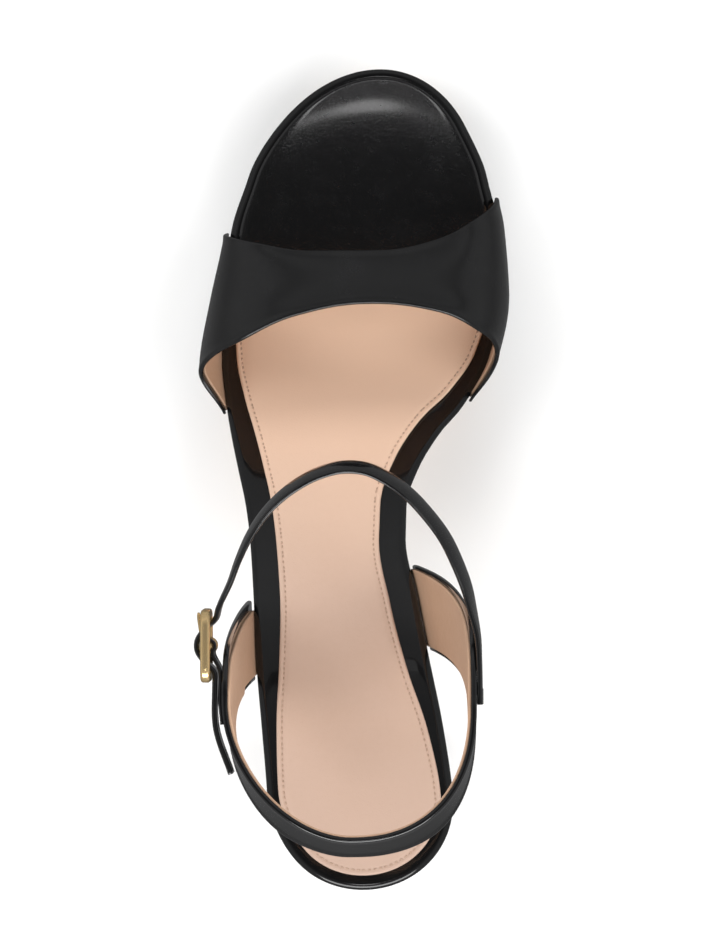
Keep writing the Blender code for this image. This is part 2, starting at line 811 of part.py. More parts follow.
def ankle_strap_surface(s, v, route):
    small = 2e-3
    here = curve_at(route, s)
    step = curve_at(route, min(s + small, 1.0)) - curve_at(route, max(s - small, 0.0))
    outwards = Vector((step.y, -step.x)).normalized() if step.length else Vector((1, 0))
    lean = ANKLE_STRAP_LEAN * here.z
    ahead = (here.y - HEEL_BACK_Y - RING_CENTRE) / (RING_FRONT - RING_CENTRE)
    middle = RING_HEIGHT + ANKLE_STRAP_RISE * ease((ahead - 0.35) / 0.65)
    up = (v - 0.5) * ANKLE_STRAP_WIDTH
    plan = here.to_2d() - outwards * up * math.sin(lean)
    return Vector((plan.x, plan.y, middle + up * math.cos(lean)))


def build_ankle_strap(collection, cutters, patent):
    route = ankle_strap_route()
    stations = [1 - k / 84 for k in range(85)]
    strap = strip(
        "ankle_strap", lambda s, v: ankle_strap_surface(s, 1 - v, route), ANKLE_STRAP_WALL,
        stations, 3, collection, patent,
    )
    base, tip = prong_line()
    reach = (tip - base).normalized() * ANKLE_STRAP_WALL
    hole = cylinder(base - reach, tip + reach, PRONG_RADIUS + CLEARANCE)
    combine(strap, cutter("prong_hole", hole, cutters), "DIFFERENCE")
    for k in range(SPARE_HOLES):
        distance = BUCKLE_BAR - FRAME_LENGTH / 2 - FRAME_WIRE - HOLE_SPACING * (k + 0.4)
        way = way_at(distance, -1)
        point = ring_point(way)
        across = (ring_point(way, 1) - point).normalized() * FRAME_LENGTH
        height = RING_HEIGHT
        start = Vector((point.x + across.x * 0.12, point.y + across.y * 0.12, height))
        end = Vector((point.x + across.x, point.y + across.y, height))
        combine(strap, cutter(f"spare_hole_{k + 1}", cylinder(start, end, HOLE_RADIUS), cutters),
                "DIFFERENCE")
    return strap


def rounded_rectangle(length, height, corner, steps=5):
    points = []
    for cx, cy, start in ((1, 1, 0), (-1, 1, 90), (-1, -1, 180), (1, -1, 270)):
        for k in range(steps + 1):
            angle = math.radians(start + 90 * k / steps)
            points.append(Vector((
                cx * (length / 2 - corner) + corner * math.cos(angle),
                cy * (height / 2 - corner) + corner * math.sin(angle),
            )))
    return points


def build_buckle_frame(collection, cutters, gold):
    centre = buckle_centre()
    outer = rounded_rectangle(FRAME_LENGTH, FRAME_HEIGHT, FRAME_CORNER)
    inner = rounded_rectangle(
        FRAME_LENGTH - 2 * FRAME_WIRE, FRAME_HEIGHT - 2 * FRAME_WIRE, FRAME_CORNER - FRAME_WIRE,
    )
    depth = FRAME_DEPTH / 2
    soft = FRAME_SOFTNESS
    share = soft / FRAME_WIRE
    section = (
        (0, -depth + soft), (share, -depth), (1 - share, -depth), (1, -depth + soft),
        (1, depth - soft), (1 - share, depth), (share, depth), (0, depth - soft),
    )
    rings = []
    for a, b in zip(outer, inner):
        ring = [a.lerp(b, across) for across, out in section]
        rings.append([
            Vector((centre.x + out, centre.y + p.x, centre.z + p.y))
            for p, (across, out) in zip(ring, section)
        ])
    frame = loft("buckle_frame", rings, collection, gold, closed=True)
    reach = Vector((0, 0, (FRAME_HEIGHT - FRAME_WIRE) / 2))
    bar = cylinder(bar_centre() - reach, bar_centre() + reach, BAR_RADIUS, sides=12)
    combine(frame, cutter("middle_bar", bar, cutters), "UNION")
    return frame


def tab_route():
    # From the end held on the back strap, forward, and round the middle bar.
    centre = bar_centre()
    held = QUARTER_WALL / 2 + CLEARANCE + TAB_WALL / 2
    around = BAR_RADIUS + TRIM_GAP + TAB_WALL / 2
    route = []
    for share in (0.0, 0.33, 0.66):
        point = ring_point(way_at(BUCKLE_BAR - TAB_LENGTH * (1 - share), -1), held)
        route.append(Vector((point.x, point.y, 0)))
    for degrees in range(-40, 241, 35):
        angle = math.radians(degrees)
        route.append(Vector((
            centre.x + around * math.cos(angle), centre.y + around * math.sin(angle), 0,
        )))
    return route


def tab_surface(s, v, route):
    here = curve_at(route, s)
    return Vector((here.x, here.y, RING_HEIGHT + (v - 0.5) * TAB_WIDTH))


def build_buckle_tab(collection, cutters, patent):
    route = tab_route()
    stations = [k / 44 for k in range(45)]
    tab = strip(
        "buckle_tab", lambda s, v: tab_surface(s, v, route), TAB_WALL, stations, 2,
        collection, patent,
    )
    bpy.ops.mesh.primitive_cube_add(size=1, location=bar_centre())
    slot = bpy.context.object
    slot.scale = (6 * TAB_WALL, 2 * (strap_over_bar() + CLEARANCE), TAB_SLOT)
    bpy.ops.object.transform_apply(location=False, rotation=False)
    combine(tab, cutter("tab_slot", slot, cutters), "DIFFERENCE")
    return tab


def prong_line():
    # From the middle bar to the outside of the frame's front bar.
    bar = bar_centre()
    around = BAR_RADIUS + TRIM_GAP + PRONG_RADIUS
    rest = FRAME_DEPTH / 2 + TRIM_GAP + PRONG_RADIUS
    tip = buckle_centre() + Vector((-rest, FRAME_LENGTH / 2 - FRAME_WIRE * 0.4, 0))
    lean = math.atan2(tip.y - bar.y, bar.x - tip.x)
    side = math.radians(90) - math.acos(around / (tip - bar).length)
    angle = math.pi - (lean + side - math.pi / 2)
    base = bar + Vector((around * math.cos(angle), around * math.sin(angle), 0))
    return base, tip


def build_buckle_prong(collection, gold):
    centre = bar_centre()
    base, tip = prong_line()
    around = BAR_RADIUS + TRIM_GAP + PRONG_RADIUS
    start = math.atan2(base.y - centre.y, base.x - centre.x)
    points = []
    for k in range(9):
        angle = start + math.radians(300) * (1 - k / 8)
        points.append(centre + Vector((around * math.cos(angle), around * math.sin(angle), 0)))
    points += [base.lerp(tip, 0.5), tip]
    curve = bpy.data.curves.new("buckle_prong", "CURVE")
    curve.dimensions = "3D"
    curve.bevel_depth = PRONG_RADIUS
    curve.bevel_resolution = 2
    curve.use_fill_caps = True
    spline = curve.splines.new("POLY")
    spline.points.add(len(points) - 1)
    for place, point in zip(spline.points, points):
        place.co = (*point, 1)
    curve.materials.append(gold)
    prong = bpy.data.objects.new("buckle_prong", curve)
    collection.objects.link(prong)
    return prong


def main():
    for old in list(bpy.data.objects):
        bpy.data.objects.remove(old)
    sandal = collection_named("platform_sandal")
    cutters = collection_named("cutters")
    patent = material("black_patent", (0.012, 0.012, 0.013), 0.12, coat=1.0)
    lining = material("sock_leather", (0.62, 0.45, 0.33), 0.5)
    outsole = material("outsole_leather", (0.45, 0.29, 0.17), 0.45)
    rubber = material("heel_rubber", (0.02, 0.02, 0.02), 0.6)
    gold = material("buckle_gold", (0.86, 0.66, 0.34), 0.18, metallic=1.0)
    build_outsole(sandal, outsole)
    build_platform(sandal, patent)
    build_footbed(sandal, patent)
    build_sock(sandal, lining)
    build_toe_sock(sandal, patent)
    build_heel(sandal, patent)
    build_heel_tip(sandal, rubber)
    build_front_strap(sandal, patent)
    build_back_strap(sandal, patent)
    build_ankle_strap(sandal, cutters, patent)
    build_buckle_frame(sandal, cutters, gold)
    build_buckle_tab(sandal, cutters, patent)
    build_buckle_prong(sandal, gold)


main()
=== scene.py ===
import math

import bmesh
import bpy
from mathutils import Matrix, Vector


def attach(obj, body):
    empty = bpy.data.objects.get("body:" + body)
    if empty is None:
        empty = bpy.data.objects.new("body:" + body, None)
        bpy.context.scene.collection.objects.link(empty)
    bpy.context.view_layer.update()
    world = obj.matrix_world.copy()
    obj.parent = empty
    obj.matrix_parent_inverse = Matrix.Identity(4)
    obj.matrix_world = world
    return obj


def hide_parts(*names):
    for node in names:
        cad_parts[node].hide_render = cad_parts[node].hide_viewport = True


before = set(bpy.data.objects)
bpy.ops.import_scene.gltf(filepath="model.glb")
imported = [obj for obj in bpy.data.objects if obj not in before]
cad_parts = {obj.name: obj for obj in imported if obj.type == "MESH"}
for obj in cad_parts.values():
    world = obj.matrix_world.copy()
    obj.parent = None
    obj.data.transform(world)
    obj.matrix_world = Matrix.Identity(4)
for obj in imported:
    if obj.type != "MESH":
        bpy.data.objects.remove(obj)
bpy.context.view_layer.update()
print("frame loaded")

# The sandal stands on the floor at z 0, with its toe towards +Y and its big toe on +X.
# Lengths are metres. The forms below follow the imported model's.
sole = {
    "length": 0.2245, "ballWidth": 0.0785, "toeSwing": 0.0033, "heelRound": 0.026, "toeRound": 0.030,
    "heelHeight": 0.085, "toeSpring": 0.006, "footbed": 0.005, "rimRadius": 0.0021,
    "seatDish": 0.0014, "platform": 0.0165, "platformInset": 0.0003, "outsole": 0.0025,
    "outsoleInset": 0.0012, "outsoleWaistInset": 0.0034, "sock": 0.0012, "rim": 0.0074,
    "gap": 0.0003, "heelBreast": 0.235, "platformStart": 0.375, "forefoot": 0.700, "sockFront": 0.735,
    "springStart": 0.840, "backY": -0.0245,
}
soleRows = {  # along: (outer, inner, rim)
    0.000: (0.333, 0.333, 0.56),
    0.050: (0.323, 0.322, 0.53),
    0.120: (0.337, 0.303, 0.43),
    0.200: (0.362, 0.264, 0.58),
    0.270: (0.385, 0.218, 0.86),
    0.350: (0.403, 0.166, 1.00),
    0.420: (0.424, 0.122, 0.98),
    0.460: (0.444, 0.122, 0.97),
    0.500: (0.474, 0.156, 0.96),
    0.545: (0.507, 0.229, 0.90),
    0.580: (0.528, 0.312, 0.76),
    0.640: (0.551, 0.402, 0.56),
    0.720: (0.553, 0.446, 0.42),
    0.800: (0.528, 0.431, 0.34),
    0.866: (0.470, 0.385, 0.31),
    0.930: (0.415, 0.346, 0.31),
    1.000: (0.374, 0.341, 0.31),
}
profileRows = {  # along: (climb, platform)
    0.000: (1.000, 0.00),
    0.100: (0.962, 0.00),
    0.200: (0.885, 0.00),
    0.300: (0.765, 0.00),
    0.375: (0.637, 0.06),
    0.440: (0.507, 0.30),
    0.500: (0.370, 0.55),
    0.560: (0.226, 0.77),
    0.610: (0.112, 0.91),
    0.650: (0.043, 0.98),
    0.685: (0.006, 1.00),
    0.705: (0.000, 1.00),
    1.000: (0.000, 1.00),
}


def smooth(rows, column, at):
    # a monotone cubic through one column of the rows
    xs = list(rows)
    ys = [row[column] for row in rows.values()]
    at = min(max(at, xs[0]), xs[-1])
    span = next(i for i in range(len(xs) - 1) if at <= xs[i + 1])

    def slope(i):
        return (ys[i + 1] - ys[i]) / (xs[i + 1] - xs[i])

    def tangent(i):
        if i in (0, len(xs) - 1):
            return slope(min(i, len(xs) - 2))
        before, after = slope(i - 1), slope(i)
        return 0.0 if before * after <= 0 else 2 * before * after / (before + after)

    width = xs[span + 1] - xs[span]
    t = (at - xs[span]) / width
    return (
        ys[span] * (1 + 2 * t) * (1 - t) ** 2 + tangent(span) * width * t * (1 - t) ** 2
        + ys[span + 1] * t * t * (3 - 2 * t) + tangent(span + 1) * width * t * t * (t - 1)
    )


def blended(rows, column, at, reach=0.018):
    # the same curve, averaged over a short stretch so that gloss runs along it evenly
    shares = ((-1, 0.12), (-0.5, 0.23), (0, 0.30), (0.5, 0.23), (1, 0.12))
    return sum(weight * smooth(rows, column, at + step * reach) for step, weight in shares)


def lerp(a, b, share):
    return a + (b - a) * share


def signedPower(value, exponent):
    return math.copysign(abs(value) ** exponent, value)


def onCircle(centre, radius, angle):
    return centre + Vector((math.cos(angle), math.sin(angle), 0)) * radius


def ease(share):
    share = min(max(share, 0.0), 1.0)
    return share * share * (3 - 2 * share)


def yAt(along):
    return sole["backY"] + along * sole["length"]


def alongAt(y):
    return min(max((y - sole["backY"]) / sole["length"], 0.0), 1.0)


def turnAt(along):
    return math.acos(1 - 2 * along)


def alongOf(turn):
    return (1 - math.cos(turn)) / 2


def endRounding(along):
    heel = min(1.0, along * sole["length"] / sole["heelRound"])
    toe = min(1.0, (1 - along) * sole["length"] / sole["toeRound"])
    return math.sqrt(max(0.0, 1 - (1 - heel) ** 2)) * math.sqrt(max(0.0, 1 - (1 - toe) ** 2))


edgeCache = {}


def edgeX(along, side):
    # x of the footbed's edge on the big-toe side, 1, or the other, -1
    key = (along, side)
    if key not in edgeCache:
        half = sole["ballWidth"] * smooth(soleRows, 1 if side > 0 else 0, along) * endRounding(along)
        edgeCache[key] = sole["toeSwing"] * along + side * half
    return edgeCache[key]


def planPoint(turn, distance=0.0):
    # the footbed's outline, moved inwards; turn is 0 at the heel and pi at the toe tip
    def at(angle):
        along = alongOf(angle)
        return Vector((edgeX(along, 1 if math.sin(angle) >= 0 else -1), yAt(along)))

    tangent = (at(turn + 0.004) - at(turn - 0.004)).normalized()
    return at(turn) + Vector((-tangent.y, tangent.x)) * distance


def footbedUnder(y):
    along = alongAt(y)
    forefoot = sole["outsole"] + sole["platform"] + 2 * sole["gap"]
    start = sole["springStart"]
    spring = sole["toeSpring"] * (max(0.0, along - start) / (1 - start)) ** 2
    return forefoot + (sole["heelHeight"] - forefoot) * smooth(profileRows, 0, along) + spring


def footbedTop(x, y):
    along = alongAt(y)
    left, right = edgeX(along, -1), edgeX(along, 1)
    half = max((right - left) / 2, sole["gap"])
    across = min(1.0, abs(x - (left + right) / 2) / half)
    depth = sole["seatDish"] * math.sin(math.pi * min(1.0, along / sole["platformStart"]))
    return footbedUnder(y) + sole["footbed"] - depth * (1 - across * across)


def platformShare(y):
    return smooth(profileRows, 1, alongAt(y))


def platformUnder(y):
    return footbedUnder(y) - sole["gap"] - sole["platform"] * platformShare(y)


def outsoleTop(y):
    return platformUnder(y) - sole["gap"] * ease(platformShare(y) / 0.05)


def rimWidth(along):
    return sole["rim"] * blended(soleRows, 2, along)


def outsoleInset(along):
    share = ease((along - sole["platformStart"]) / (sole["forefoot"] - sole["platformStart"]))
    return lerp(sole["outsoleWaistInset"], sole["outsoleInset"], share)


# Pieces are meshes of quads, with attributes that their materials read


def place(name, points, faces, look, nodes, attributes=None):
    mesh = bpy.data.meshes.new(name)
    mesh.from_pydata([tuple(p) for p in points], [], faces)
    for key, values in (attributes or {}).items():
        layer = mesh.attributes.new(key, "FLOAT", "POINT")
        layer.data.foreach_set("value", values)
    mesh.validate()
    piece = bpy.data.objects.new(name, mesh)
    bpy.context.scene.collection.objects.link(piece)
    weldMesh(mesh)
    mesh.materials.append(look)
    mesh.shade_smooth()
    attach(piece, "root")
    if nodes:
        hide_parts(*nodes)
    return piece


def weldMesh(mesh, distance=2e-6):
    bm = bmesh.new()
    bm.from_mesh(mesh)
    bmesh.ops.remove_doubles(bm, verts=bm.verts, dist=distance)
    bmesh.ops.dissolve_degenerate(bm, edges=bm.edges, dist=1e-7)
    bmesh.ops.recalc_face_normals(bm, faces=bm.faces)
    bm.to_mesh(mesh)
    bm.free()


def turnsBetween(rows, start=0.0, end=1.0, extra=()):
    first, last = turnAt(start), turnAt(end)
    step = math.pi / rows
    inner = [step * k for k in range(rows + 1)]
    inner = [t for t in inner if first + step / 3 < t < last - step / 3]
    added = [turnAt(a) for a in extra]
    inner = [t for t in inner if all(abs(t - a) > step / 3 for a in added)]
    return sorted([first] + inner + added + [last])


def level(turns, distance, height):
    rows = []
    for turn in turns:
        inwards = distance(alongOf(turn))
        left, right = planPoint(-turn, inwards), planPoint(turn, inwards)
        if min(turn, math.pi - turn) < 1e-6:
            left = right = (left + right) / 2
        elif turn in (turns[0], turns[-1]):
            left.y = right.y = yAt(alongOf(turn))
        rows.append([Vector((p.x, p.y, height(p.x, p.y))) for p in (left, right)])
    return rows


def slabMesh(levels, under, top, across=20):
    # a solid through levels of rows, with a grid of faces over its first and last level
    points, faces = [], []

    def boundary(rows):
        lefts = [row[0] for row in rows]
        rights = [row[1] for row in rows]
        front = [rights[-1].lerp(lefts[-1], k / across) for k in range(1, across)]
        rear = [lefts[0].lerp(rights[0], k / across) for k in range(1, across)]
        return rights + front + lefts[::-1] + rear

    rings = []
    for rows in levels:
        ring = boundary(rows)
        rings.append(list(range(len(points), len(points) + len(ring))))
        points.extend(ring)
    for lower, upper in zip(rings, rings[1:]):
        for i in range(len(lower)):
            j = (i + 1) % len(lower)
            faces.append((lower[i], lower[j], upper[j], upper[i]))
    for ring, rows, height in ((rings[0], levels[0], under), (rings[-1], levels[-1], top)):
        count = len(rows)
        front = ring[count:count + across - 1]
        rear = ring[2 * count + across - 1:]
        lefts = ring[count + across - 1:2 * count + across - 1][::-1]
        grid = []
        for i, (left, right) in enumerate(rows):
            middle = rear if i == 0 else front[::-1]
            if 0 < i < count - 1:
                middle = []
                for k in range(1, across):
                    point = left.lerp(right, k / across)
                    if height:
                        point.z = height(point.x, point.y)
                    middle.append(len(points))
                    points.append(point)
            grid.append([lefts[i]] + middle + [ring[i]])
        for near, far in zip(grid, grid[1:]):
            for k in range(across):
                faces.append((near[k], near[k + 1], far[k + 1], far[k]))
    return points, faces


def roundedLevels(turns, distance, under, top, lower=0.0, upper=0.0, steps=5, extra=()):
    # levels of a sheet with rounded edges; extra adds (inwards, lift) steps on its top
    def at(inwards, height, lift):
        return level(turns, lambda a: distance(a) + inwards, lambda x, y: height(x, y) + lift)

    levels = []
    for k in range(steps + 1):
        angle = math.pi / 2 * k / steps
        levels.append(at(lower * (1 - math.sin(angle)), under, lower * (1 - math.cos(angle))))
        if not lower:
            break
    for k in range(steps + 1):
        angle = math.pi / 2 * k / steps
        levels.append(at(upper * (1 - math.cos(angle)), top, -upper * (1 - math.sin(angle))))
        if not upper:
            break
    for inwards, lift in extra:
        levels.append(at(inwards, top, lift))
    return levels


def tube(path, radii, normal, sides=20):
    # a round rod along a path that is bent in the plane across the normal
    points, faces = [], []
    for i, spot in enumerate(path):
        run = (path[min(i + 1, len(path) - 1)] - path[max(i - 1, 0)]).normalized()
        across = run.cross(normal).normalized()
        for k in range(sides):
            angle = 2 * math.pi * k / sides
            points.append(spot + (across * math.cos(angle) + normal * math.sin(angle)) * radii[i])
    for i in range(len(path) - 1):
        for k in range(sides):
            a, b = i * sides + k, i * sides + (k + 1) % sides
            faces.append((a, b, b + sides, a + sides))
    last = (len(path) - 1) * sides
    return points, faces + [tuple(range(sides)), tuple(range(last, last + sides))]


def joined(*meshes):
    points, faces = [], []
    for more, shapes in meshes:
        faces += [tuple(i + len(points) for i in face) for face in shapes]
        points += more
    return points, faces


# Shader maths as expressions


class Value:
    def __init__(self, tree, socket):
        self.tree = tree
        self.socket = socket

    def math(self, operation, other, flip=False):
        first, second = (other, self) if flip else (self, other)
        return self.tree.node("Math", {"operation": operation}, {0: first, 1: second})

    def __add__(self, other):
        return self.math("ADD", other)

    __radd__ = __add__

    def __sub__(self, other):
        return self.math("SUBTRACT", other)

    def __rsub__(self, other):
        return self.math("SUBTRACT", other, flip=True)

    def __mul__(self, other):
        return self.math("MULTIPLY", other)

    __rmul__ = __mul__


def setStop(rampNode, k, position, colour):
    # a new ramp has two stops, and more are added after them
    stops = rampNode.color_ramp.elements
    stop = stops[k] if k < 2 else stops.new(position)
    stop.position = position
    stop.color = (*colour, 1)


class Tree:
    def __init__(self, name):
        self.material = bpy.data.materials.new(name)
        self.material.use_nodes = True
        self.tree = self.material.node_tree
        self.shader = self.tree.nodes["Principled BSDF"]
        self.place = self.node("TexCoord", out="Object")

    def node(self, kind, settings=None, values=None, out=0):
        made = self.tree.nodes.new("ShaderNode" + kind)
        for key, value in (settings or {}).items():
            if key == "stops":
                for k, (position, colour) in enumerate(value):
                    setStop(made, k, position, (colour,) * 3)
            else:
                setattr(made, key, value)
        for key, value in (values or {}).items():
            if isinstance(value, Value):
                self.tree.links.new(value.socket, made.inputs[key])
            else:
                made.inputs[key].default_value = value
        return Value(self, made.outputs[out])

    def noise(self, scale, detail=2.0, roughness=0.5, vector=None):
        values = {"Scale": scale, "Detail": detail, "Roughness": roughness}
        return self.node("TexNoise", {}, {"Vector": vector or self.place, **values})

    def cells(self, scale):
        return self.node("TexVoronoi", {}, {"Vector": self.place, "Scale": scale}, out="Distance")

    def ramp(self, value, *stops):
        return self.node("ValToRGB", {"stops": stops}, {"Fac": value})

    def mix(self, share, a, b):
        settings = {"data_type": "RGBA", "clamp_factor": True}
        return self.node("Mix", settings, {0: share, 6: a, 7: b}, out=2)

    def read(self, name):
        return self.node("Attribute", {"attribute_name": name}, out="Fac")

    def bump(self, height, distance, strength=1.0, below=None):
        values = {"Height": height, "Distance": distance, "Strength": strength}
        if below:
            values["Normal"] = below
        return self.node("Bump", {}, values)

    def set(self, **sockets):
        for name, value in sockets.items():
            socket = self.shader.inputs[name.replace("_", " ")]
            if isinstance(value, Value):
                self.tree.links.new(value.socket, socket)
            else:
                socket.default_value = value


def patentLook(name, grain=1.0, wave=1.0, gloss=0.13, coat=1.0, haze=0.04, level=0.5):
    # black patent leather: a clear skin over fine grain, with faint dust and rub marks
    look = {"black": (0.0035, 0.0035, 0.0037, 1), "dust": (0.0085, 0.0085, 0.009, 1),
            "grainSize": 1700, "grainDepth": 0.00003, "waveSize": 62, "waveDepth": 0.00055}
    t = Tree(name)
    dust = t.ramp(t.noise(90, 5, 0.62), (0.50, 0.0), (0.78, 1.0))
    rub = t.ramp(t.noise(420, 3, 0.6), (0.46, 0.0), (0.72, 1.0))
    grainHeight = t.cells(look["grainSize"]) + t.noise(look["grainSize"] * 0.6, 2) * 0.7
    waveHeight = t.noise(look["waveSize"], 2, 0.5)
    rolled = t.bump(waveHeight, look["waveDepth"] * wave, 0.55)
    skin = t.bump(grainHeight, look["grainDepth"] * grain, 0.5, rolled)
    t.set(
        Base_Color=t.mix(dust * 0.5, look["black"], look["dust"]),
        Roughness=rub * 0.07 + dust * 0.05 + gloss,
        Normal=skin, Coat_Weight=coat, Coat_Roughness=haze, Coat_IOR=1.5, Specular_IOR_Level=level,
    )
    return t.material


def napLook(name, colour, deep, pore=1.0, rough=0.46, front=None, heel=None):
    # smooth vegetable-dyed leather, with fine pores and slight mottling; front is a colour painted
    # lighter under the front strap to offset its shadow, and heel is painted shade at the very back
    t = Tree(name)
    mottle = t.noise(46, 4, 0.55)
    fine = t.noise(520, 3, 0.6)
    pores = t.ramp(t.cells(1500), (0.0, 0.0), (0.34, 1.0))
    shade = t.ramp(mottle * 0.75 + fine * 0.25, (0.36, 0.0), (0.66, 1.0))
    skin = t.bump(pores * 0.6 + fine * 0.8 + mottle * 3.0, 0.00006 * pore, 0.6)
    dyeAndPaintedLight = t.mix(shade * 0.6 + (1 - pores) * 0.25, colour, deep)
    if front:
        along = t.node("SeparateXYZ", {}, {"Vector": t.place}, out="Y")
        # painted light: the sock turns lighter under the front strap, offsetting the strap's shadow
        dyeAndPaintedLight = t.mix(t.ramp(along, (0.055, 0.0), (0.130, 1.0)), dyeAndPaintedLight, front)
        # painted shade: the sock turns darker at the very back, where the lamps light it more
        dyeAndPaintedLight = t.mix(t.ramp(along + 0.03, (0.006, 1.0), (0.050, 0.0)), dyeAndPaintedLight, heel)
    t.set(
        Base_Color=dyeAndPaintedLight,
        Roughness=rough + fine * 0.12 - mottle * 0.05, Normal=skin,
        Coat_Weight=0.0, Specular_IOR_Level=0.45,
    )
    return t.material


def goldLook(name):
    t = Tree(name)
    stretch = t.node("Mapping", {}, {"Vector": t.place, "Scale": (900, 260, 2600)})
    marks = t.noise(1.0, 3, 0.6, stretch)
    haze = t.noise(260, 3, 0.55)
    t.set(
        Base_Color=t.mix(haze, (0.98, 0.74, 0.40, 1), (0.88, 0.62, 0.29, 1)),
        Roughness=0.12 + haze * 0.14, Metallic=0.84,
        Normal=t.bump(marks, 0.00001, 0.35),
    )
    return t.material


def outsoleLook(name):
    # waxed leather below, with an edge stained black
    t = Tree(name)
    edge = t.read("edge")
    fibres = t.node("Mapping", {}, {"Vector": t.place, "Scale": (700, 160, 700)})
    grain = t.noise(1.0, 4, 0.6, fibres)
    marks = t.noise(70, 4, 0.6)
    leather = t.mix(marks, (0.46, 0.29, 0.165, 1), (0.36, 0.215, 0.115, 1))
    t.set(
        Base_Color=t.mix(edge, leather, (0.012, 0.011, 0.010, 1)),
        Roughness=0.34 + grain * 0.22, Normal=t.bump(grain + marks, 0.00005, 0.5),
    )
    return t.material


def rubberLook(name):
    t = Tree(name)
    specks = t.noise(900, 3, 0.6)
    t.set(
        Base_Color=t.mix(specks, (0.016, 0.016, 0.016, 1), (0.032, 0.031, 0.030, 1)),
        Roughness=0.55 + specks * 0.2, Normal=t.bump(specks, 0.00006, 0.6),
    )
    return t.material


def threadLook(name, colour):
    t = Tree(name)
    ply = t.noise(2600, 2, 0.5)
    t.set(
        Base_Color=t.mix(ply, colour, tuple(c * 0.72 for c in colour[:3]) + (1,)),
        Roughness=0.55 + ply * 0.15, Normal=t.bump(ply, 0.00005, 0.6),
    )
    return t.material


looks = {
    "footbed": patentLook("footbedPatent", grain=0.6, wave=0.8, coat=0.75, level=0.3),
    "vamp": patentLook("vampPatent", grain=0.7, wave=0.7, gloss=0.20, coat=0.7, haze=0.17, level=0.3),
    "strap": patentLook("strapPatent", grain=0.6, wave=0.5),
    "toe": patentLook("toePatent", grain=3.2, wave=0.8, gloss=0.22, haze=0.13),
    "platform": patentLook("platformPatent", grain=0.6, wave=0.7),
    # the sock's front colour is painted light that offsets the front strap's shadow; its heel colour is
    # painted shade
    "sock": napLook("sockLeather", (0.572, 0.404, 0.315, 1), (0.533, 0.367, 0.278, 1),
        front=(0.760, 0.520, 0.372, 1), heel=(0.470, 0.332, 0.262, 1)),
    "lining": napLook("liningLeather", (0.49, 0.315, 0.212, 1), (0.42, 0.262, 0.170, 1), 1.3, 0.5),
    "outsole": outsoleLook("outsoleLeather"),
    "rubber": rubberLook("topPieceRubber"),
    "gold": goldLook("buckleGold"),
    "thread": threadLook("sockThread", (0.50, 0.345, 0.255, 1)),
}
print("materials made")


def makeFootbed():
    size = {"rows": 150, "across": 22, "lower": 0.0009, "upper": sole["rimRadius"]}
    turns = turnsBetween(size["rows"])
    levels = roundedLevels(
        turns, lambda a: 0.0, lambda x, y: footbedUnder(y), footbedTop, size["lower"], size["upper"], 6,
    )
    points, faces = slabMesh(levels, lambda x, y: footbedUnder(y), footbedTop, size["across"])
    place("footbedCover", points, faces, looks["footbed"], ["footbed"])


def makePlatform():
    # a covered block, with edges softened once it is thick enough
    size = {"rows": 150, "across": 16, "lower": 0.0014, "upper": 0.0010, "fade": 0.12, "steps": 4}
    turns = turnsBetween(size["rows"], start=sole["platformStart"])

    def under(x, y):
        return platformUnder(y)

    def top(x, y):
        return footbedUnder(y) - sole["gap"]

    def softened(radius, inwards, lift, height):
        def share(along):
            return ease((along - sole["platformStart"]) / size["fade"])

        return level(
            turns, lambda a: sole["platformInset"] + radius * inwards * share(a),
            lambda x, y: height(x, y) + radius * lift * share(alongAt(y)),
        )

    corner = [math.pi / 2 * k / size["steps"] for k in range(size["steps"] + 1)]
    levels = [softened(size["lower"], 1 - math.sin(a), 1 - math.cos(a), under) for a in corner]
    levels += [softened(size["upper"], 1 - math.cos(a), math.sin(a) - 1, top) for a in corner]
    points, faces = slabMesh(levels, under, top, size["across"])
    place("platformCover", points, faces, looks["platform"], ["platform"])


def makeOutsole():
    size = {"rows": 150, "across": 18, "lower": 0.0006}
    turns = turnsBetween(size["rows"], start=sole["heelBreast"] + sole["gap"] / sole["length"])

    def under(x, y):
        return outsoleTop(y) - sole["outsole"]

    levels = roundedLevels(
        turns, outsoleInset, under, lambda x, y: outsoleTop(y), size["lower"], 0.0, 3,
    )
    points, faces = slabMesh(levels, under, lambda x, y: outsoleTop(y), size["across"])
    ring = 2 * len(turns) + 2 * (size["across"] - 1)
    edge = [1.0 if ring * 2 <= i < ring * len(levels) else 0.0 for i in range(len(points))]
    place(
        "outsoleLeather", points, faces, looks["outsole"], ["outsole"],
        attributes={"edge": edge},
    )


def sockUnder(x, y):
    return footbedTop(x, y) + sole["gap"] / 2


def sockTop(x, y):
    return footbedTop(x, y) + sole["gap"] + sole["sock"]


stitching = {
    "inset": 0.0015, "pitch": 0.0015, "long": 0.0009, "thick": 0.00022, "groove": 0.00016,
    "grooveHalf": 0.0006, "floorHalf": 0.0002, "sunk": 0.6,
}


def makeSock():
    size = {"rows": 170, "across": 22, "upper": 0.0007}
    turns = turnsBetween(size["rows"], end=sole["sockFront"])
    inset, deep = stitching["inset"], stitching["groove"]
    wide, flat = stitching["grooveHalf"], stitching["floorHalf"]
    extra = [(inset - wide, 0.0), (inset - flat, -deep), (inset + flat, -deep), (inset + wide, 0.0)]
    levels = roundedLevels(turns, rimWidth, sockUnder, sockTop, 0.0, size["upper"], 4, extra)
    points, faces = slabMesh(levels, sockUnder, sockTop, size["across"])
    place("sockLeather", points, faces, looks["sock"], ["sock"])


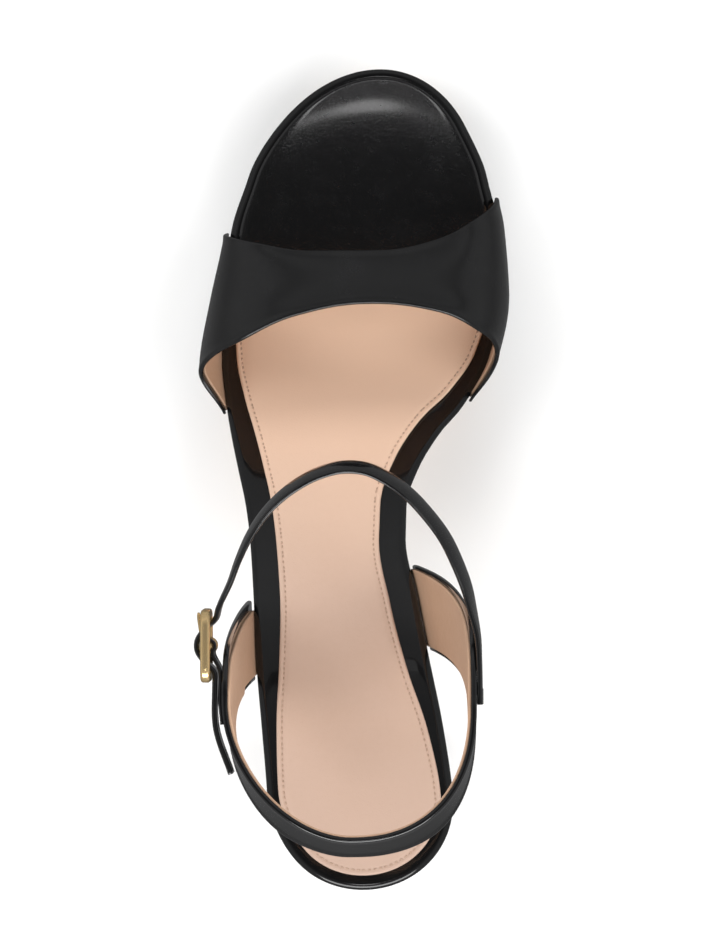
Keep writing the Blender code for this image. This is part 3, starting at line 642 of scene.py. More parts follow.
def makeToeSock():
    # its middle is dished towards the toe tip, so the light lies on it as a crescent
    size = {"rows": 150, "across": 30, "upper": 0.0009, "dish": 142, "start": 0.860, "fade": 0.030}
    turns = turnsBetween(size["rows"], start=sole["sockFront"] + sole["gap"] / sole["length"])

    def top(x, y):
        along = alongAt(y)
        left, right = edgeX(along, -1), edgeX(along, 1)
        half = (right - left) / 2 - rimWidth(along) - size["upper"]
        within = max(0.0, half * half - (x - (left + right) / 2) ** 2) if half > 0 else 0.0
        ahead = max(0.0, y - yAt(size["start"]))
        return sockTop(x, y) - size["dish"] * within * ahead * ahead / size["fade"]

    levels = roundedLevels(turns, rimWidth, sockUnder, top, 0.0, size["upper"], 4)
    points, faces = slabMesh(levels, sockUnder, top, size["across"])
    place("toeSockPatent", points, faces, looks["toe"], ["toe_sock"])


def makeStitches():
    # one row of thread just inside the sock's edge, from under the front strap round the heel
    size = {"end": 0.01, "steps": 900, "rings": 5, "tip": 0.04, "sides": 6}
    last = turnAt(sole["sockFront"] - size["end"])
    line = []
    for k in range(size["steps"] + 1):
        turn = -last + 2 * last * k / size["steps"]
        plan = planPoint(turn, rimWidth(alongOf(turn)) + stitching["inset"])
        height = sockTop(plan.x, plan.y) - stitching["groove"] * stitching["sunk"]
        line.append(Vector((plan.x, plan.y, height)))
    # each stitch is a short rod with rounded ends
    shares = [k / size["rings"] for k in range(size["rings"] + 1)]
    inner = [min(max(share, size["tip"]), 1 - size["tip"]) for share in shares]
    radii = [stitching["thick"] * math.sin(math.pi * share) ** 0.5 for share in inner]
    shapes = []
    walked = 0.0
    due = stitching["pitch"]
    for a, b in zip(line, line[1:]):
        walked += (b - a).length
        if walked >= due:
            along = (b - a).normalized()
            path = [b + along * stitching["long"] * (share - 0.5) for share in shares]
            shapes.append(tube(path, radii, Vector((0, 0, 1)), size["sides"]))
            due += stitching["pitch"]
    points, faces = joined(*shapes)
    place("sockStitching", points, faces, looks["thread"], [])


heel = {
    "treadWidth": 0.034, "treadDepth": 0.031, "inset": 0.0008, "topPiece": 0.005, "corner": 0.0030,
    "flare": 2.2, "backShare": 0.55, "seam": 0.0001,
}


def heelRows(turns, rise, low, high):
    flare = rise ** heel["flare"]
    seat = level(turns, lambda a: heel["inset"], lambda x, y: 0.0)
    back, front = seat[0][0].y, seat[-1][0].y
    rows = []
    for left, right in seat:
        depth = ((left.y + right.y) / 2 - back) / (front - back)
        short = 1 - min(1.0, depth / heel["backShare"])
        half = heel["treadWidth"] / 2 * math.sqrt(max(0.0, 1 - short ** 2))
        row = []
        for side, point in ((-1, left), (1, right)):
            tread = Vector((side * half, heel["treadDepth"] * (depth - 0.5)))
            plan = tread.lerp(point.to_2d(), flare)
            row.append(Vector((plan.x, plan.y, lerp(low(point.y), high(point.y), rise))))
        rows.append(row)
    front = rows[-1][0].y
    for left, right in rows:
        reach = heel["corner"] - (front - left.y)
        if reach > 0:
            trim = heel["corner"] - math.sqrt(max(0.0, heel["corner"] ** 2 - reach * reach))
            left.x += trim
            right.x -= trim
    return rows


def heelTurns():
    # rows that lie closer together towards the breast, where the corners are rounded
    before = (0.0012, 0.0035, 0.0065, 0.010, 0.0145, 0.020)
    extra = [sole["heelBreast"] - share for share in before]
    return turnsBetween(150, end=sole["heelBreast"], extra=extra)


def makeHeel():
    size = {"levels": 28, "across": 14}
    turns = heelTurns()
    low = heel["topPiece"] + heel["seam"]
    levels = []
    for k in range(size["levels"] + 1):
        rise = k / size["levels"]
        levels.append(heelRows(turns, rise, lambda y: low, lambda y: footbedUnder(y) - heel["seam"]))
    points, faces = slabMesh(levels, None, None, size["across"])
    place("heelCover", points, faces, looks["platform"], ["heel"])


def makeHeelTip():
    # the top piece, with shallow grooves across its tread
    size = {
        "groove": 0.0007, "pitch": 0.0032, "border": 0.0030, "edge": 0.0005, "narrowing": 0.35,
        "across": 40,
    }
    turns = heelTurns()
    top = heel["topPiece"]
    levels = []
    for z, shrink in ((0.0, 0.985), (size["edge"] * 0.4, 0.995), (size["edge"], 1.0), (top, 1.0)):
        rows = heelRows(turns, 0.0, lambda y: z, lambda y: z)
        for row in rows:
            for point in row:
                point.x *= shrink
                point.y *= shrink
        levels.append(rows)

    def tread(x, y):
        reach = heel["treadDepth"] / 2 - size["border"]
        half = heel["treadWidth"] / 2 - size["border"] - max(0.0, -y) * size["narrowing"]
        if abs(y) > reach or abs(x) > half:
            return 0.0
        wave = math.sin(2 * math.pi * y / size["pitch"])
        return size["groove"] * ease((wave - 0.1) / 0.5)

    points, faces = slabMesh(levels, tread, None, size["across"])
    place("heelTopPiece", points, faces, looks["rubber"], ["heel_tip"])


makeFootbed()
makePlatform()
makeOutsole()
makeSock()
makeToeSock()
makeStitches()
makeHeel()
makeHeelTip()
print("sole, sock and heel made")


# Straps: a surface that a strap's middle follows, and layers on each side of it

frontStrap = {
    "wall": 0.0018, "ballHeight": 0.0490, "roundness": 2.4, "crest": 0.0040,
    "outerBulge": 0.0054, "innerBulge": 0.0024, "frontShare": 0.10, "outerStart": 0.27,
    "innerStart": 0.40, "seated": 0.00005, "frontReach": 0.03, "rearReach": 0.02,
}
strapRows = {  # turn over the foot from the outer side: (front, rear) along the sole
    0.000: (0.796, 0.568),
    0.040: (0.793, 0.597),
    0.083: (0.790, 0.624),
    0.167: (0.784, 0.645),
    0.250: (0.778, 0.661),
    0.375: (0.768, 0.692),
    0.500: (0.768, 0.707),
    0.625: (0.783, 0.697),
    0.750: (0.809, 0.675),
    0.833: (0.822, 0.661),
    0.917: (0.833, 0.637),
    0.960: (0.838, 0.611),
    1.000: (0.840, 0.584),
}
instepRows = {  # along: share of the ball's height
    0.500: (1.42,),
    0.580: (1.32,),
    0.640: (1.20,),
    0.707: (1.03,),
    0.768: (0.79,),
    0.850: (0.62,),
}


def frontStrapSurface(s, v):
    # s runs over the foot from the outer side; v runs from the rear edge to the front edge
    front = blended(strapRows, 0, s, frontStrap["frontReach"])
    rear = blended(strapRows, 1, s, frontStrap["rearReach"])
    along = lerp(rear, front, v)
    turn = math.pi * s
    over = max(0.0, math.sin(turn))
    cosine = -math.cos(turn)
    power = 2 / frontStrap["roundness"]
    across = signedPower(cosine, power)
    left, right = edgeX(along, -1), edgeX(along, 1)
    half = (right - left + frontStrap["wall"]) / 2 - frontStrap["seated"]
    side = "inner" if across > 0 else "outer"
    swell = ease(over / frontStrap[side + "Start"]) * lerp(1.0, frontStrap["frontShare"], ease(v))
    reach = half + swell * frontStrap[side + "Bulge"]
    x = (left + right) / 2 + reach * across + frontStrap["crest"] * over * over
    height = frontStrap["ballHeight"] * blended(instepRows, 0, along, frontStrap["frontReach"])
    y = yAt(along)
    return Vector((x, y, footbedUnder(y) + height * over ** power))


def strapMesh(
    surface, stations, steps, inner, outer, margin=lambda s: (0, 0), bead=0.0, dome=0.0, thin=None,
):
    # rings round a strap: along the inside, round an edge, back along the outside
    small, beadWidth, curl, crowding, edgeSteps = 1e-3, 0.0012, 0.8, 0.7, 6
    points, faces, rings = [], [], []
    for s in stations:
        low, high = max(s - small, 0.0), min(s + small, 1.0)
        width = sum((surface(s, (k + 1) / 8) - surface(s, k / 8)).length for k in range(8))
        rear, front = margin(s)
        thick = outer * thin(s) if thin else outer
        first, last = rear / width, 1 - front / width
        inside, outside = [], []
        for k in range(steps + 1):
            share = (1 - math.cos(math.pi * k / steps)) / 2
            v = lerp(first, last, lerp(k / steps, share, crowding))
            point = surface(s, v)
            run = surface(high, v) - surface(low, v)
            across = surface(s, min(v + small, 1.0)) - surface(s, max(v - small, 0.0))
            normal = run.cross(across).normalized()
            distance = min(v - first, last - v) * width
            swell = bead * math.exp(-(distance / beadWidth) ** 2) + dome * 4 * v * (1 - v)
            inside.append(point - normal * inner)
            outside.append(point + normal * (thick + swell))
        ring = list(inside)
        for k, back, flip in ((steps, steps - 1, 1), (0, 1, -1)):
            outwards = (inside[k] - inside[back]).normalized()
            middle = (inside[k] + outside[k]) / 2
            arm = (outside[k] - inside[k]) / 2
            arc = []
            for j in range(1, edgeSteps):
                angle = math.pi * j / edgeSteps
                reach = outwards * arm.length * math.sin(angle) * curl
                arc.append(middle - arm * math.cos(angle) + reach)
            ring += arc + outside[::-1] if flip > 0 else arc[::-1]
        rings.append(list(range(len(points), len(points) + len(ring))))
        points.extend(ring)
    for lower, upper in zip(rings, rings[1:]):
        for i in range(len(lower)):
            j = (i + 1) % len(lower)
            faces.append((lower[i], lower[j], upper[j], upper[i]))
    faces.append(tuple(rings[0][::-1]))
    faces.append(tuple(rings[-1]))
    return points, faces


def makeFrontStrap():
    # it thins towards its feet, where it is tucked in beside the footbed
    size = {
        "lining": 0.00065, "lap": 0.0001, "turnIn": 0.0011, "bead": 0.00022, "footWall": 0.35,
        "foot": 0.06,
    }
    stations = [k / 130 for k in range(131)]
    middle = frontStrap["wall"] / 2 - size["lining"]
    points, faces = strapMesh(
        frontStrapSurface, stations, 34, middle, frontStrap["wall"] / 2, bead=size["bead"],
        thin=lambda s: lerp(size["footWall"], 1.0, ease(min(s, 1 - s) / size["foot"])),
    )
    place("frontStrapPatent", points, faces, looks["vamp"], ["vamp_strap"])
    points, faces = strapMesh(
        frontStrapSurface, stations, 20, frontStrap["wall"] / 2, size["lap"] - middle,
        margin=lambda s: (size["turnIn"], size["turnIn"]),
    )
    place("frontStrapLining", points, faces, looks["lining"], [])


ring = {
    "height": 0.1475, "middle": -0.0016, "halfWidth": 0.0317, "centre": 0.0540, "back": 0.0196,
    "front": 0.1155, "frontRoundness": 2.5, "innerRoundness": 2.3, "outerRoundness": 1.8,
}
quarter = {
    "wall": 0.0020, "roundness": 1.7, "strapHeight": 0.0120, "flare": 0.0048, "run": 0.34,
    "flareStart": math.radians(25), "flareEnd": math.radians(90), "reach": 0.06,
    "inner": {"rear": (0.287, 0.175), "front": (0.385, 0.236)},
    "outer": {"rear": (0.251, 0.165), "front": (0.342, 0.262)},
}
quarterEdge = {  # run up from the sole: (rise, sweep back)
    0.0: (0.00, 0.00),
    0.2: (0.27, 0.06),
    0.4: (0.54, 0.16),
    0.6: (0.79, 0.32),
    0.8: (0.95, 0.55),
    1.0: (1.00, 1.00),
}


def ringQuarter(ahead, side):
    # length of the ring from its widest part to its front or back, and its roundness there
    if ahead:
        return ring["front"] - ring["centre"], ring["frontRoundness"]
    return ring["centre"] - ring["back"], ring["innerRoundness" if side > 0 else "outerRoundness"]


def ringPoint(way, offset=0.0):
    # the ring round the ankle; way is 0 at the heel and pi at the front, on the inner side
    def at(angle):
        cosine, sine = math.cos(angle), math.sin(angle)
        length, roundness = ringQuarter(cosine < 0, sine)
        across = signedPower(sine, 2 / roundness)
        back = signedPower(cosine, 2 / roundness)
        return Vector((
            ring["middle"] + ring["halfWidth"] * across,
            sole["backY"] + ring["centre"] - length * back,
        ))

    tangent = (at(way + 0.02) - at(way - 0.02)).normalized()
    return at(way) + Vector((tangent.y, -tangent.x)) * offset


def wayAt(distance, side):
    ahead = distance - ring["centre"]
    length, roundness = ringQuarter(ahead > 0, side)
    share = min(1.0, abs(ahead) / length) ** (roundness / 2)
    return side * math.acos(-math.copysign(share, ahead))


def wallPoint(way, height):
    point = ringPoint(way)
    along = alongAt(point.y)
    side = 1 if way > 0 else -1
    foot = edgeX(along, side) + side * (quarter["wall"] / 2 - frontStrap["seated"])
    base = footbedUnder(point.y)
    rise = min(1.0, max(0.0, (height - base) / (ring["height"] - base)))
    share = 1 - (1 - rise) ** quarter["roundness"]
    return Vector((lerp(foot, point.x, share), point.y, height))


def edgePlace(side, edge, run, height):
    start, join = quarter["inner" if side > 0 else "outer"][edge]
    sweep = blended(quarterEdge, 1, run, quarter["reach"])
    rise = blended(quarterEdge, 0, run, quarter["reach"]) if run > 0.001 else 0.0
    base = footbedUnder(yAt(start))
    return wayAt(sole["length"] * lerp(start, join, sweep), side), lerp(base, height, rise)


def backStrapSurface(s, v):
    # s runs from the outer quarter's foot, round the heel, to the inner quarter's foot
    side = -1 if s < 0.5 else 1
    run = (0.5 - abs(s - 0.5)) / quarter["run"]
    half = quarter["strapHeight"] / 2
    rearWay, rearHeight = edgePlace(side, "rear", min(run, 1.0), ring["height"] - half)
    frontWay, frontHeight = edgePlace(side, "front", min(run, 1.0), ring["height"] + half)
    if run > 1:
        around = (run - 1) / (0.5 / quarter["run"] - 1)
        rearWay *= 1 - around
        frontWay *= 1 - around
    way = lerp(rearWay, frontWay, v)
    height = lerp(rearHeight, frontHeight, v)
    point = wallPoint(way or 1e-6, height)
    around = ease((quarter["flareEnd"] - abs(way)) / (quarter["flareEnd"] - quarter["flareStart"]))
    below = min(1.0, (ring["height"] + half - height) / quarter["strapHeight"])
    outwards = ringPoint(way, quarter["flare"]) - ringPoint(way)
    point.x += outwards.x * around * ease(run) * below
    point.y += outwards.y * around * ease(run) * below
    return point


def makeBackStrap():
    size = {
        "lining": 0.00075, "lap": 0.0001, "turnIn": 0.0010, "wideTurnIn": 0.0032, "bead": 0.00030,
        "widening": 0.15,
    }
    half = [quarter["run"] * k / 56 for k in range(56)]
    half += [lerp(quarter["run"], 0.5, k / 50) for k in range(50)]
    stations = half + [0.5] + [1 - s for s in half[::-1]]
    middle = quarter["wall"] / 2 - size["lining"]
    points, faces = strapMesh(
        backStrapSurface, stations, 18, middle, quarter["wall"] / 2, bead=size["bead"],
    )
    place("backStrapPatent", points, faces, looks["strap"], ["back_strap"])

    def margin(s):
        # the outer quarter's front edge is turned in further
        wide = ease((quarter["run"] - s) / size["widening"])
        return size["turnIn"], lerp(size["turnIn"], size["wideTurnIn"], wide)

    points, faces = strapMesh(
        backStrapSurface, stations, 12, quarter["wall"] / 2, size["lap"] - middle, margin=margin,
    )
    place("backStrapLining", points, faces, looks["lining"], [])


makeFrontStrap()
makeBackStrap()
print("front strap and back strap made")


# Ankle strap and buckle

ankle = {
    "width": 0.0080, "wall": 0.0015, "lean": math.radians(16), "rise": 0.0060, "start": 0.0560,
    "tip": 0.0380, "freeGap": 0.0024, "holes": 3, "holeRadius": 0.0011, "holePitch": 0.0060,
    "firstHole": 0.4, "riseStart": 0.35,
}
ankleRows = (  # middle of the strap round the front, from the inner side: across, ahead, lean
    (1.003, 0.397, 0.55), (0.962, 0.483, 0.80), (0.883, 0.593, 0.95), (0.776, 0.706, 1.00),
    (0.634, 0.805, 1.00), (0.489, 0.885, 1.00), (0.315, 0.951, 1.00), (0.142, 0.992, 1.00),
    (-0.045, 1.000, 1.00), (-0.254, 0.973, 0.95), (-0.468, 0.912, 0.85), (-0.647, 0.832, 0.72),
    (-0.798, 0.728, 0.60), (-0.912, 0.607, 0.42), (-0.984, 0.506, 0.25),
)
buckle = {
    "bar": 0.0690, "length": 0.0190, "height": 0.0158, "wire": 0.0024, "depth": 0.0026,
    "corner": 0.0042, "edge": 0.62, "slant": 0.0014, "barRadius": 0.0008, "barInset": 0.0008,
    "tabWall": 0.0010, "tabWidth": 0.0076, "tabLength": 0.0200, "tabSlot": 0.0030,
    "trim": 0.0002, "prong": 0.0006,
}


def curveAt(points, share):
    # a point at a share of the length along a smooth curve through the points
    spans = [(b.to_2d() - a.to_2d()).length for a, b in zip(points, points[1:])]
    rest = min(max(share, 0.0), 1.0) * sum(spans)
    i = 0
    while i < len(spans) - 1 and rest > spans[i]:
        rest -= spans[i]
        i += 1

    def tangent(j):
        if j in (0, len(spans)):
            k = min(j, len(spans) - 1)
            return (points[k + 1] - points[k]) / spans[k]
        before = (points[j] - points[j - 1]) / spans[j - 1]
        after = (points[j + 1] - points[j]) / spans[j]
        return (before * spans[j] + after * spans[j - 1]) / (spans[j - 1] + spans[j])

    t = rest / spans[i]
    late = t * t * (3 - 2 * t)
    bend = tangent(i) * (spans[i] * t * (1 - t) ** 2) + tangent(i + 1) * (spans[i] * t * t * (t - 1))
    return points[i] * (1 - late) + points[i + 1] * late + bend


def buckleCentre():
    layers = quarter["wall"] / 2 + sole["gap"] + buckle["tabWall"] + ankle["wall"] + 2 * buckle["trim"]
    x = ring["middle"] - ring["halfWidth"] - layers - buckle["depth"] / 2
    return Vector((x, sole["backY"] + buckle["bar"], ring["height"]))


def barCentre():
    return buckleCentre() + Vector((buckle["barInset"], 0, 0))


def ankleRoute():
    # x, y and lean of the strap's middle, from the inner quarter to the free end
    held = quarter["wall"] / 2 + sole["gap"] + ankle["wall"] / 2
    outerHeld = held + buckle["tabWall"] + buckle["trim"]
    route = []

    def onRing(distance, side, offset, lean):
        point = ringPoint(wayAt(distance, side), offset)
        route.append(Vector((point.x, point.y, lean)))

    for share, lean in ((0, 0), (0.13, 0), (0.27, 0.2)):
        onRing(lerp(ankle["start"], ring["front"], share), 1, held, lean)
    for across, ahead, lean in ankleRows:
        x = ring["middle"] + ring["halfWidth"] * across
        y = sole["backY"] + lerp(ring["centre"], ring["front"], ahead)
        route.append(Vector((x, y, lean)))
    centre = buckleCentre()
    wire, slant, bar = buckle["wire"], buckle["slant"], buckle["barRadius"]
    inside = centre.x + buckle["depth"] / 2 + buckle["trim"] + ankle["wall"] / 2
    front, back = centre.y + buckle["length"] / 2, centre.y - buckle["length"] / 2
    over = bar + buckle["tabWall"] + 2 * buckle["trim"] + ankle["wall"] / 2 + sole["gap"]
    proud = barCentre().x - over
    halfway = lerp(inside, proud, 0.5)
    for x, y, lean in (
        (inside + slant, front + wire * 0.6, 0.1), (inside + slant * 0.6, front, 0),
        (inside + buckle["trim"], front - wire, 0), (halfway, lerp(front, centre.y, 0.52), 0),
        (proud, centre.y + bar, 0), (proud, centre.y - bar, 0),
        (halfway, lerp(back, centre.y, 0.52), 0), (inside, back + wire, 0), (inside, back, 0),
    ):
        route.append(Vector((x, y, lean)))
    for share in (0.45, 1.0):
        distance = lerp(buckle["bar"] - buckle["length"] / 2 - wire, ankle["tip"], share)
        onRing(distance, -1, outerHeld + share * ankle["freeGap"] / 2, 0)
    return route


def ankleSurface(s, v, route):
    small = 2e-3
    here = curveAt(route, s)
    step = curveAt(route, min(s + small, 1.0)) - curveAt(route, max(s - small, 0.0))
    outwards = Vector((step.y, -step.x)).normalized()
    lean = ankle["lean"] * here.z
    ahead = (here.y - sole["backY"] - ring["centre"]) / (ring["front"] - ring["centre"])
    start = ankle["riseStart"]
    middle = ring["height"] + ankle["rise"] * ease((ahead - start) / (1 - start))
    up = (v - 0.5) * ankle["width"]
    plan = here.to_2d() - outwards * up * math.sin(lean)
    return Vector((plan.x, plan.y, middle + up * math.cos(lean)))


def prongLine():
    bar = barCentre()
    around = buckle["barRadius"] + buckle["trim"] + buckle["prong"]
    rest = buckle["depth"] / 2 + buckle["trim"] + buckle["prong"]
    tip = buckleCentre() + Vector((-rest, buckle["length"] / 2 - buckle["wire"] * 0.4, 0))
    lean = math.atan2(tip.y - bar.y, bar.x - tip.x)
    side = math.pi / 2 - math.acos(around / (tip - bar).length)
    angle = math.pi - (lean + side - math.pi / 2)
    return onCircle(bar, around, angle), tip


def carved(blank, cutters):
    # the blank with the cutters' volumes taken out
    made = []
    for shape in [blank] + cutters:
        mesh = bpy.data.meshes.new("blank")
        mesh.from_pydata([tuple(p) for p in shape[0]], [], shape[1])
        weldMesh(mesh)
        made.append(bpy.data.objects.new("blank", mesh))
        bpy.context.scene.collection.objects.link(made[-1])
    for tool in made[1:]:
        cut = made[0].modifiers.new("cut", "BOOLEAN")
        cut.operation = "DIFFERENCE"
        cut.solver = "EXACT"
        cut.object = tool
    graph = bpy.context.evaluated_depsgraph_get()
    result = bpy.data.meshes.new_from_object(made[0].evaluated_get(graph))
    points = [v.co.copy() for v in result.vertices]
    faces = [tuple(face.vertices) for face in result.polygons]
    for piece in made:
        bpy.data.objects.remove(piece)
    bpy.data.meshes.remove(result)
    return points, faces


def makeAnkleStrap():
    size = {"stations": 230, "steps": 12, "dome": 0.00025}
    route = ankleRoute()
    stations = [k / size["stations"] for k in range(size["stations"] + 1)]
    half = ankle["wall"] / 2
    blank = strapMesh(
        lambda s, v: ankleSurface(s, v, route), stations, size["steps"], half,
        half - size["dome"], dome=size["dome"],
    )
    base, tip = prongLine()
    reach = (tip - base).normalized() * ankle["wall"]
    up = Vector((0, 0, 1))
    hole = buckle["prong"] + sole["gap"]
    cutters = [tube([base - reach, tip + reach], [hole, hole], up)]
    behind = buckle["bar"] - buckle["length"] / 2 - buckle["wire"]
    for k in range(ankle["holes"]):
        way = wayAt(behind - ankle["holePitch"] * (k + ankle["firstHole"]), -1)
        start, end = (
            ringPoint(way, buckle["length"] * share).to_3d() + up * ring["height"]
            for share in (0.12, 1)
        )
        cutters.append(tube([start, end], [ankle["holeRadius"]] * 2, up))
    points, faces = carved(blank, cutters)
    place("ankleStrap", points, faces, looks["strap"], ["ankle_strap"])


def makeFold():
    # the strap's inner end is folded over where it is sewn down
    size = {
        "from": 0.0540, "to": 0.0578, "thick": 0.0009, "dome": 0.0003, "wider": 0.0008, "rows": 12,
    }
    held = quarter["wall"] / 2 + sole["gap"] + ankle["wall"] / 2

    def surface(s, v):
        point = ringPoint(wayAt(lerp(size["from"], size["to"], s), 1), held)
        height = ring["height"] + (v - 0.5) * (ankle["width"] + size["wider"])
        return Vector((point.x, point.y, height))

    stations = [(1 - math.cos(math.pi * k / size["rows"])) / 2 for k in range(size["rows"] + 1)]
    points, faces = strapMesh(
        surface, stations, 10, ankle["wall"] / 2, size["thick"] - size["dome"], dome=size["dome"],
    )
    place("ankleStrapFold", points, faces, looks["strap"], [])


def makeFrame():
    # a rounded bar swept round a rounded rectangle, with the middle bar across it
    size = {"cornerSteps": 12, "sides": 24}
    centre = buckleCentre()
    wire, depth = buckle["wire"] / 2, buckle["depth"] / 2
    corner = buckle["corner"] - wire
    points, faces = [], []
    path = []
    for cy, cz, start in ((1, 1, 0), (-1, 1, 90), (-1, -1, 180), (1, -1, 270)):
        for k in range(size["cornerSteps"] + 1):
            angle = math.radians(start + 90 * k / size["cornerSteps"])
            away = Vector((0, math.cos(angle), math.sin(angle)))
            spot = centre + away * corner
            spot.y += cy * (buckle["length"] / 2 - wire - corner)
            spot.z += cz * (buckle["height"] / 2 - wire - corner)
            path.append((spot, away))
    sides = size["sides"]
    for spot, away in path:
        for k in range(sides):
            angle = 2 * math.pi * k / sides
            c, s = math.cos(angle), math.sin(angle)
            across = signedPower(c, buckle["edge"])
            out = signedPower(s, buckle["edge"])
            points.append(spot + away * wire * across + Vector((depth * out, 0, 0)))
    for i in range(len(path)):
        for k in range(sides):
            a, b = i * sides + k, i * sides + (k + 1) % sides
            c, d = (i + 1) % len(path) * sides + k, (i + 1) % len(path) * sides + (k + 1) % sides
            faces.append((a, b, d, c))
    reach = Vector((0, 0, (buckle["height"] - buckle["wire"]) / 2))
    bar = tube([barCentre() - reach, barCentre() + reach], [buckle["barRadius"]] * 2, Vector((1, 0, 0)))
    points, faces = joined((points, faces), bar)
    place("buckleFrame", points, faces, looks["gold"], ["buckle_frame"])


def tabRoute():
    centre = barCentre()
    held = quarter["wall"] / 2 + sole["gap"] + buckle["tabWall"] / 2
    around = buckle["barRadius"] + buckle["trim"] + buckle["tabWall"] / 2
    route = []
    for share in (0.0, 0.33, 0.66):
        distance = buckle["bar"] - buckle["tabLength"] * (1 - share)
        point = ringPoint(wayAt(distance, -1), held)
        route.append(Vector((point.x, point.y, 0)))
    for degrees in range(-40, 241, 20):
        angle = math.radians(degrees)
        spot = onCircle(centre, around, angle)
        route.append(Vector((spot.x, spot.y, 0)))
    return route


def makeTab():
    size = {"stations": 110, "steps": 8, "slotReach": 3}
    route = tabRoute()
    half = buckle["tabWall"] / 2

    def surface(s, v):
        here = curveAt(route, s)
        return Vector((here.x, here.y, ring["height"] + (v - 0.5) * buckle["tabWidth"]))

    stations = [k / size["stations"] for k in range(size["stations"] + 1)]
    blank = strapMesh(surface, stations, size["steps"], half, half)
    centre = barCentre()
    reach = buckle["tabWall"] * size["slotReach"]
    deep = buckle["barRadius"] + buckle["tabWall"] + 4 * buckle["trim"] + ankle["wall"] / 2 + sole["gap"]
    corners = [
        centre + Vector((x * reach, y * deep, z * buckle["tabSlot"] / 2))
        for z in (-1, 1) for x, y in ((-1, -1), (1, -1), (1, 1), (-1, 1))
    ]
    sides = [(3, 2, 1, 0), (4, 5, 6, 7), (0, 1, 5, 4), (1, 2, 6, 5), (2, 3, 7, 6), (3, 0, 4, 7)]
    points, faces = carved(blank, [(corners, sides)])
    place("buckleTab", points, faces, looks["strap"], ["buckle_tab"])


def makeProng():
    # a rod that wraps round the middle bar and lies on the frame, tapering to its tip
    size = {"wrap": math.radians(300), "wrapSteps": 32, "steps": 16, "sides": 16}
    centre = barCentre()
    base, tip = prongLine()
    around = buckle["barRadius"] + buckle["trim"] + buckle["prong"]
    start = math.atan2(base.y - centre.y, base.x - centre.x)
    path = []
    for k in range(size["wrapSteps"] + 1):
        angle = start + size["wrap"] * (1 - k / size["wrapSteps"])
        path.append(onCircle(centre, around, angle))
    path += [base.lerp(tip, k / size["steps"]) for k in range(1, size["steps"] + 1)]
    thick = buckle["prong"]
    radii = [thick] * (len(path) - 3) + [thick * 0.95, thick * 0.8, thick * 0.45]
    points, faces = tube(path, radii, Vector((0, 0, 1)), size["sides"])
    place("buckleProng", points, faces, looks["gold"], ["buckle_prong"])


makeAnkleStrap()
makeFold()
makeFrame()
makeTab()
makeProng()
print("ankle strap and buckle made")


def makeFloor():
    size = 6.0
    mesh = bpy.data.meshes.new("floor")
    corners = [(-size, -size, 0), (size, -size, 0), (size, size, 0), (-size, size, 0)]
    mesh.from_pydata(corners, [], [(0, 1, 2, 3)])
    floor = bpy.data.objects.new("floor", mesh)
    bpy.context.scene.collection.objects.link(floor)
    t = Tree("paleFloor")
    t.set(Base_Color=(0.93, 0.93, 0.925, 1), Roughness=0.7)
    mesh.materials.append(t.material)
    floor.visible_glossy = False  # the studio below the horizon shows in the gloss instead


def makeLight(name, position, aim, width, depth, power, seen, shape):
    lamp = bpy.data.lights.new(name, "AREA")
    lamp.shape = shape
    lamp.size = width
    lamp.size_y = depth
    lamp.energy = power
    light = bpy.data.objects.new(name, lamp)
    light.location = position
    light.visible_glossy = seen
    light.rotation_mode = "QUATERNION"
    light.rotation_quaternion = (Vector(aim) - Vector(position)).to_track_quat("-Z", "Y")
    bpy.context.scene.collection.objects.link(light)


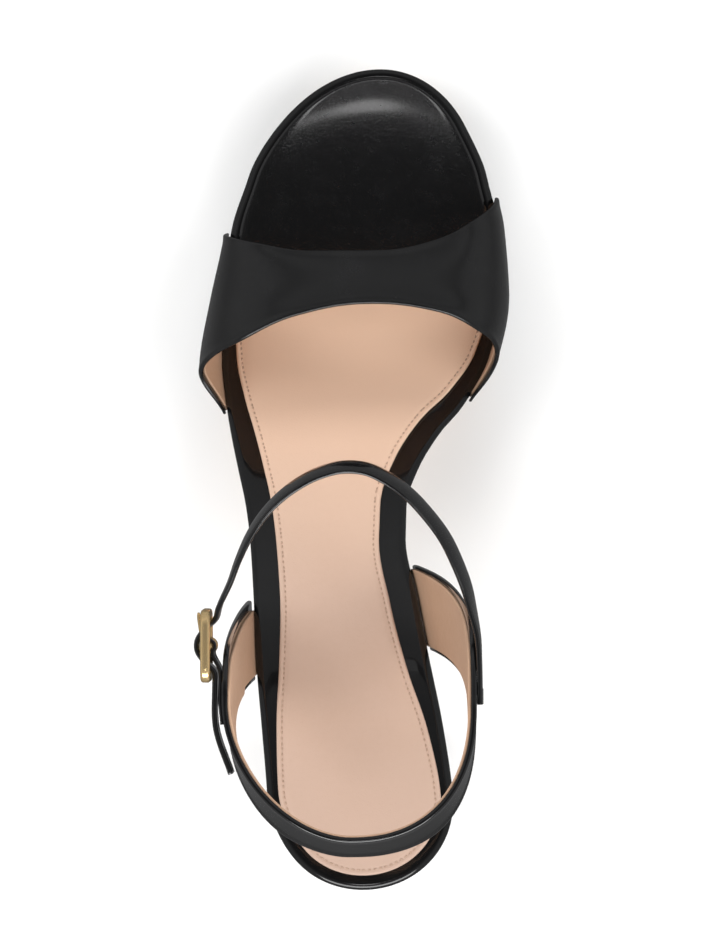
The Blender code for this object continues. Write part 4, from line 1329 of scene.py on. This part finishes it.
def makeWorld():
    world = bpy.data.worlds.new("studio")
    bpy.context.scene.world = world
    world.use_nodes = True
    nodes, links = world.node_tree.nodes, world.node_tree.links
    coordinate = nodes.new("ShaderNodeTexCoord")
    split = nodes.new("ShaderNodeSeparateXYZ")
    rampNode = nodes.new("ShaderNodeValToRGB")
    stops = (
        (0.0, 0.12), (0.20, 0.11), (0.32, 0.24), (0.46, 0.30), (0.480, 0.13), (0.505, 0.13),
        (0.525, 0.34), (0.56, 0.34), (0.66, 0.24), (0.79, 0.40), (0.90, 0.24), (0.965, 0.13),
        (0.995, 0.03),
    )
    for k, (position, grey) in enumerate(stops):
        setStop(rampNode, k, position, (grey, grey, grey * 1.01))
    links.new(coordinate.outputs["Generated"], split.inputs[0])
    height = nodes.new("ShaderNodeMapRange")
    height.inputs["From Min"].default_value = -1
    links.new(split.outputs["Z"], height.inputs["Value"])
    links.new(height.outputs["Result"], rampNode.inputs["Fac"])
    links.new(rampNode.outputs["Color"], nodes["Background"].inputs["Color"])
    nodes["Background"].inputs["Strength"].default_value = 1.0


def makeCamera():
    # straight above, a little to the big-toe side, as the photo was taken
    spot = {
        "position": Vector((0.0434, 0.1165, 1.600)), "aim": Vector((-0.0035, 0.0875, 0.040)),
        "lens": 214, "sensor": 36, "near": 0.1, "far": 20,
    }
    data = bpy.data.cameras.new("camera")
    data.lens = spot["lens"]
    data.sensor_width = spot["sensor"]
    data.clip_start = spot["near"]
    data.clip_end = spot["far"]
    camera = bpy.data.objects.new("camera", data)
    backwards = (spot["position"] - spot["aim"]).normalized()
    right = Vector((0, 1, 0)).cross(backwards).normalized()
    up = backwards.cross(right)
    turn = Matrix((right, up, backwards)).transposed()
    camera.matrix_world = Matrix.Translation(spot["position"]) @ turn.to_4x4()
    bpy.context.scene.collection.objects.link(camera)
    bpy.context.scene.camera = camera


lights = {  # position, aim, width, depth, power, seen in the gloss, shape
    "softboxLeft": ((-0.9, 0.35, 1.0), (0, 0.1, 0.05), 0.9, 1.3, 12, False, "RECTANGLE"),
    "softboxRight": ((0.9, 0.0, 1.0), (0, 0.1, 0.05), 0.9, 1.3, 12, False, "RECTANGLE"),
    "softboxHeel": ((0.05, -1.15, 0.70), (0, 0.05, 0.08), 1.5, 0.62, 15, True, "RECTANGLE"),
    "softboxToe": ((-0.05, 1.2, 1.1), (0, 0.1, 0.05), 1.2, 0.5, 8, False, "RECTANGLE"),
    "toeHighlight": ((-0.020, -0.395, 1.285), (-0.005, 0.19, 0.03), 0.17, 0.19, 0.40, True, "ELLIPSE"),
}
makeFloor()
makeWorld()
for name, values in lights.items():
    makeLight(name, *values)
makeCamera()
bpy.context.scene.view_settings.view_transform = "Standard"
print("floor, lights and camera made")
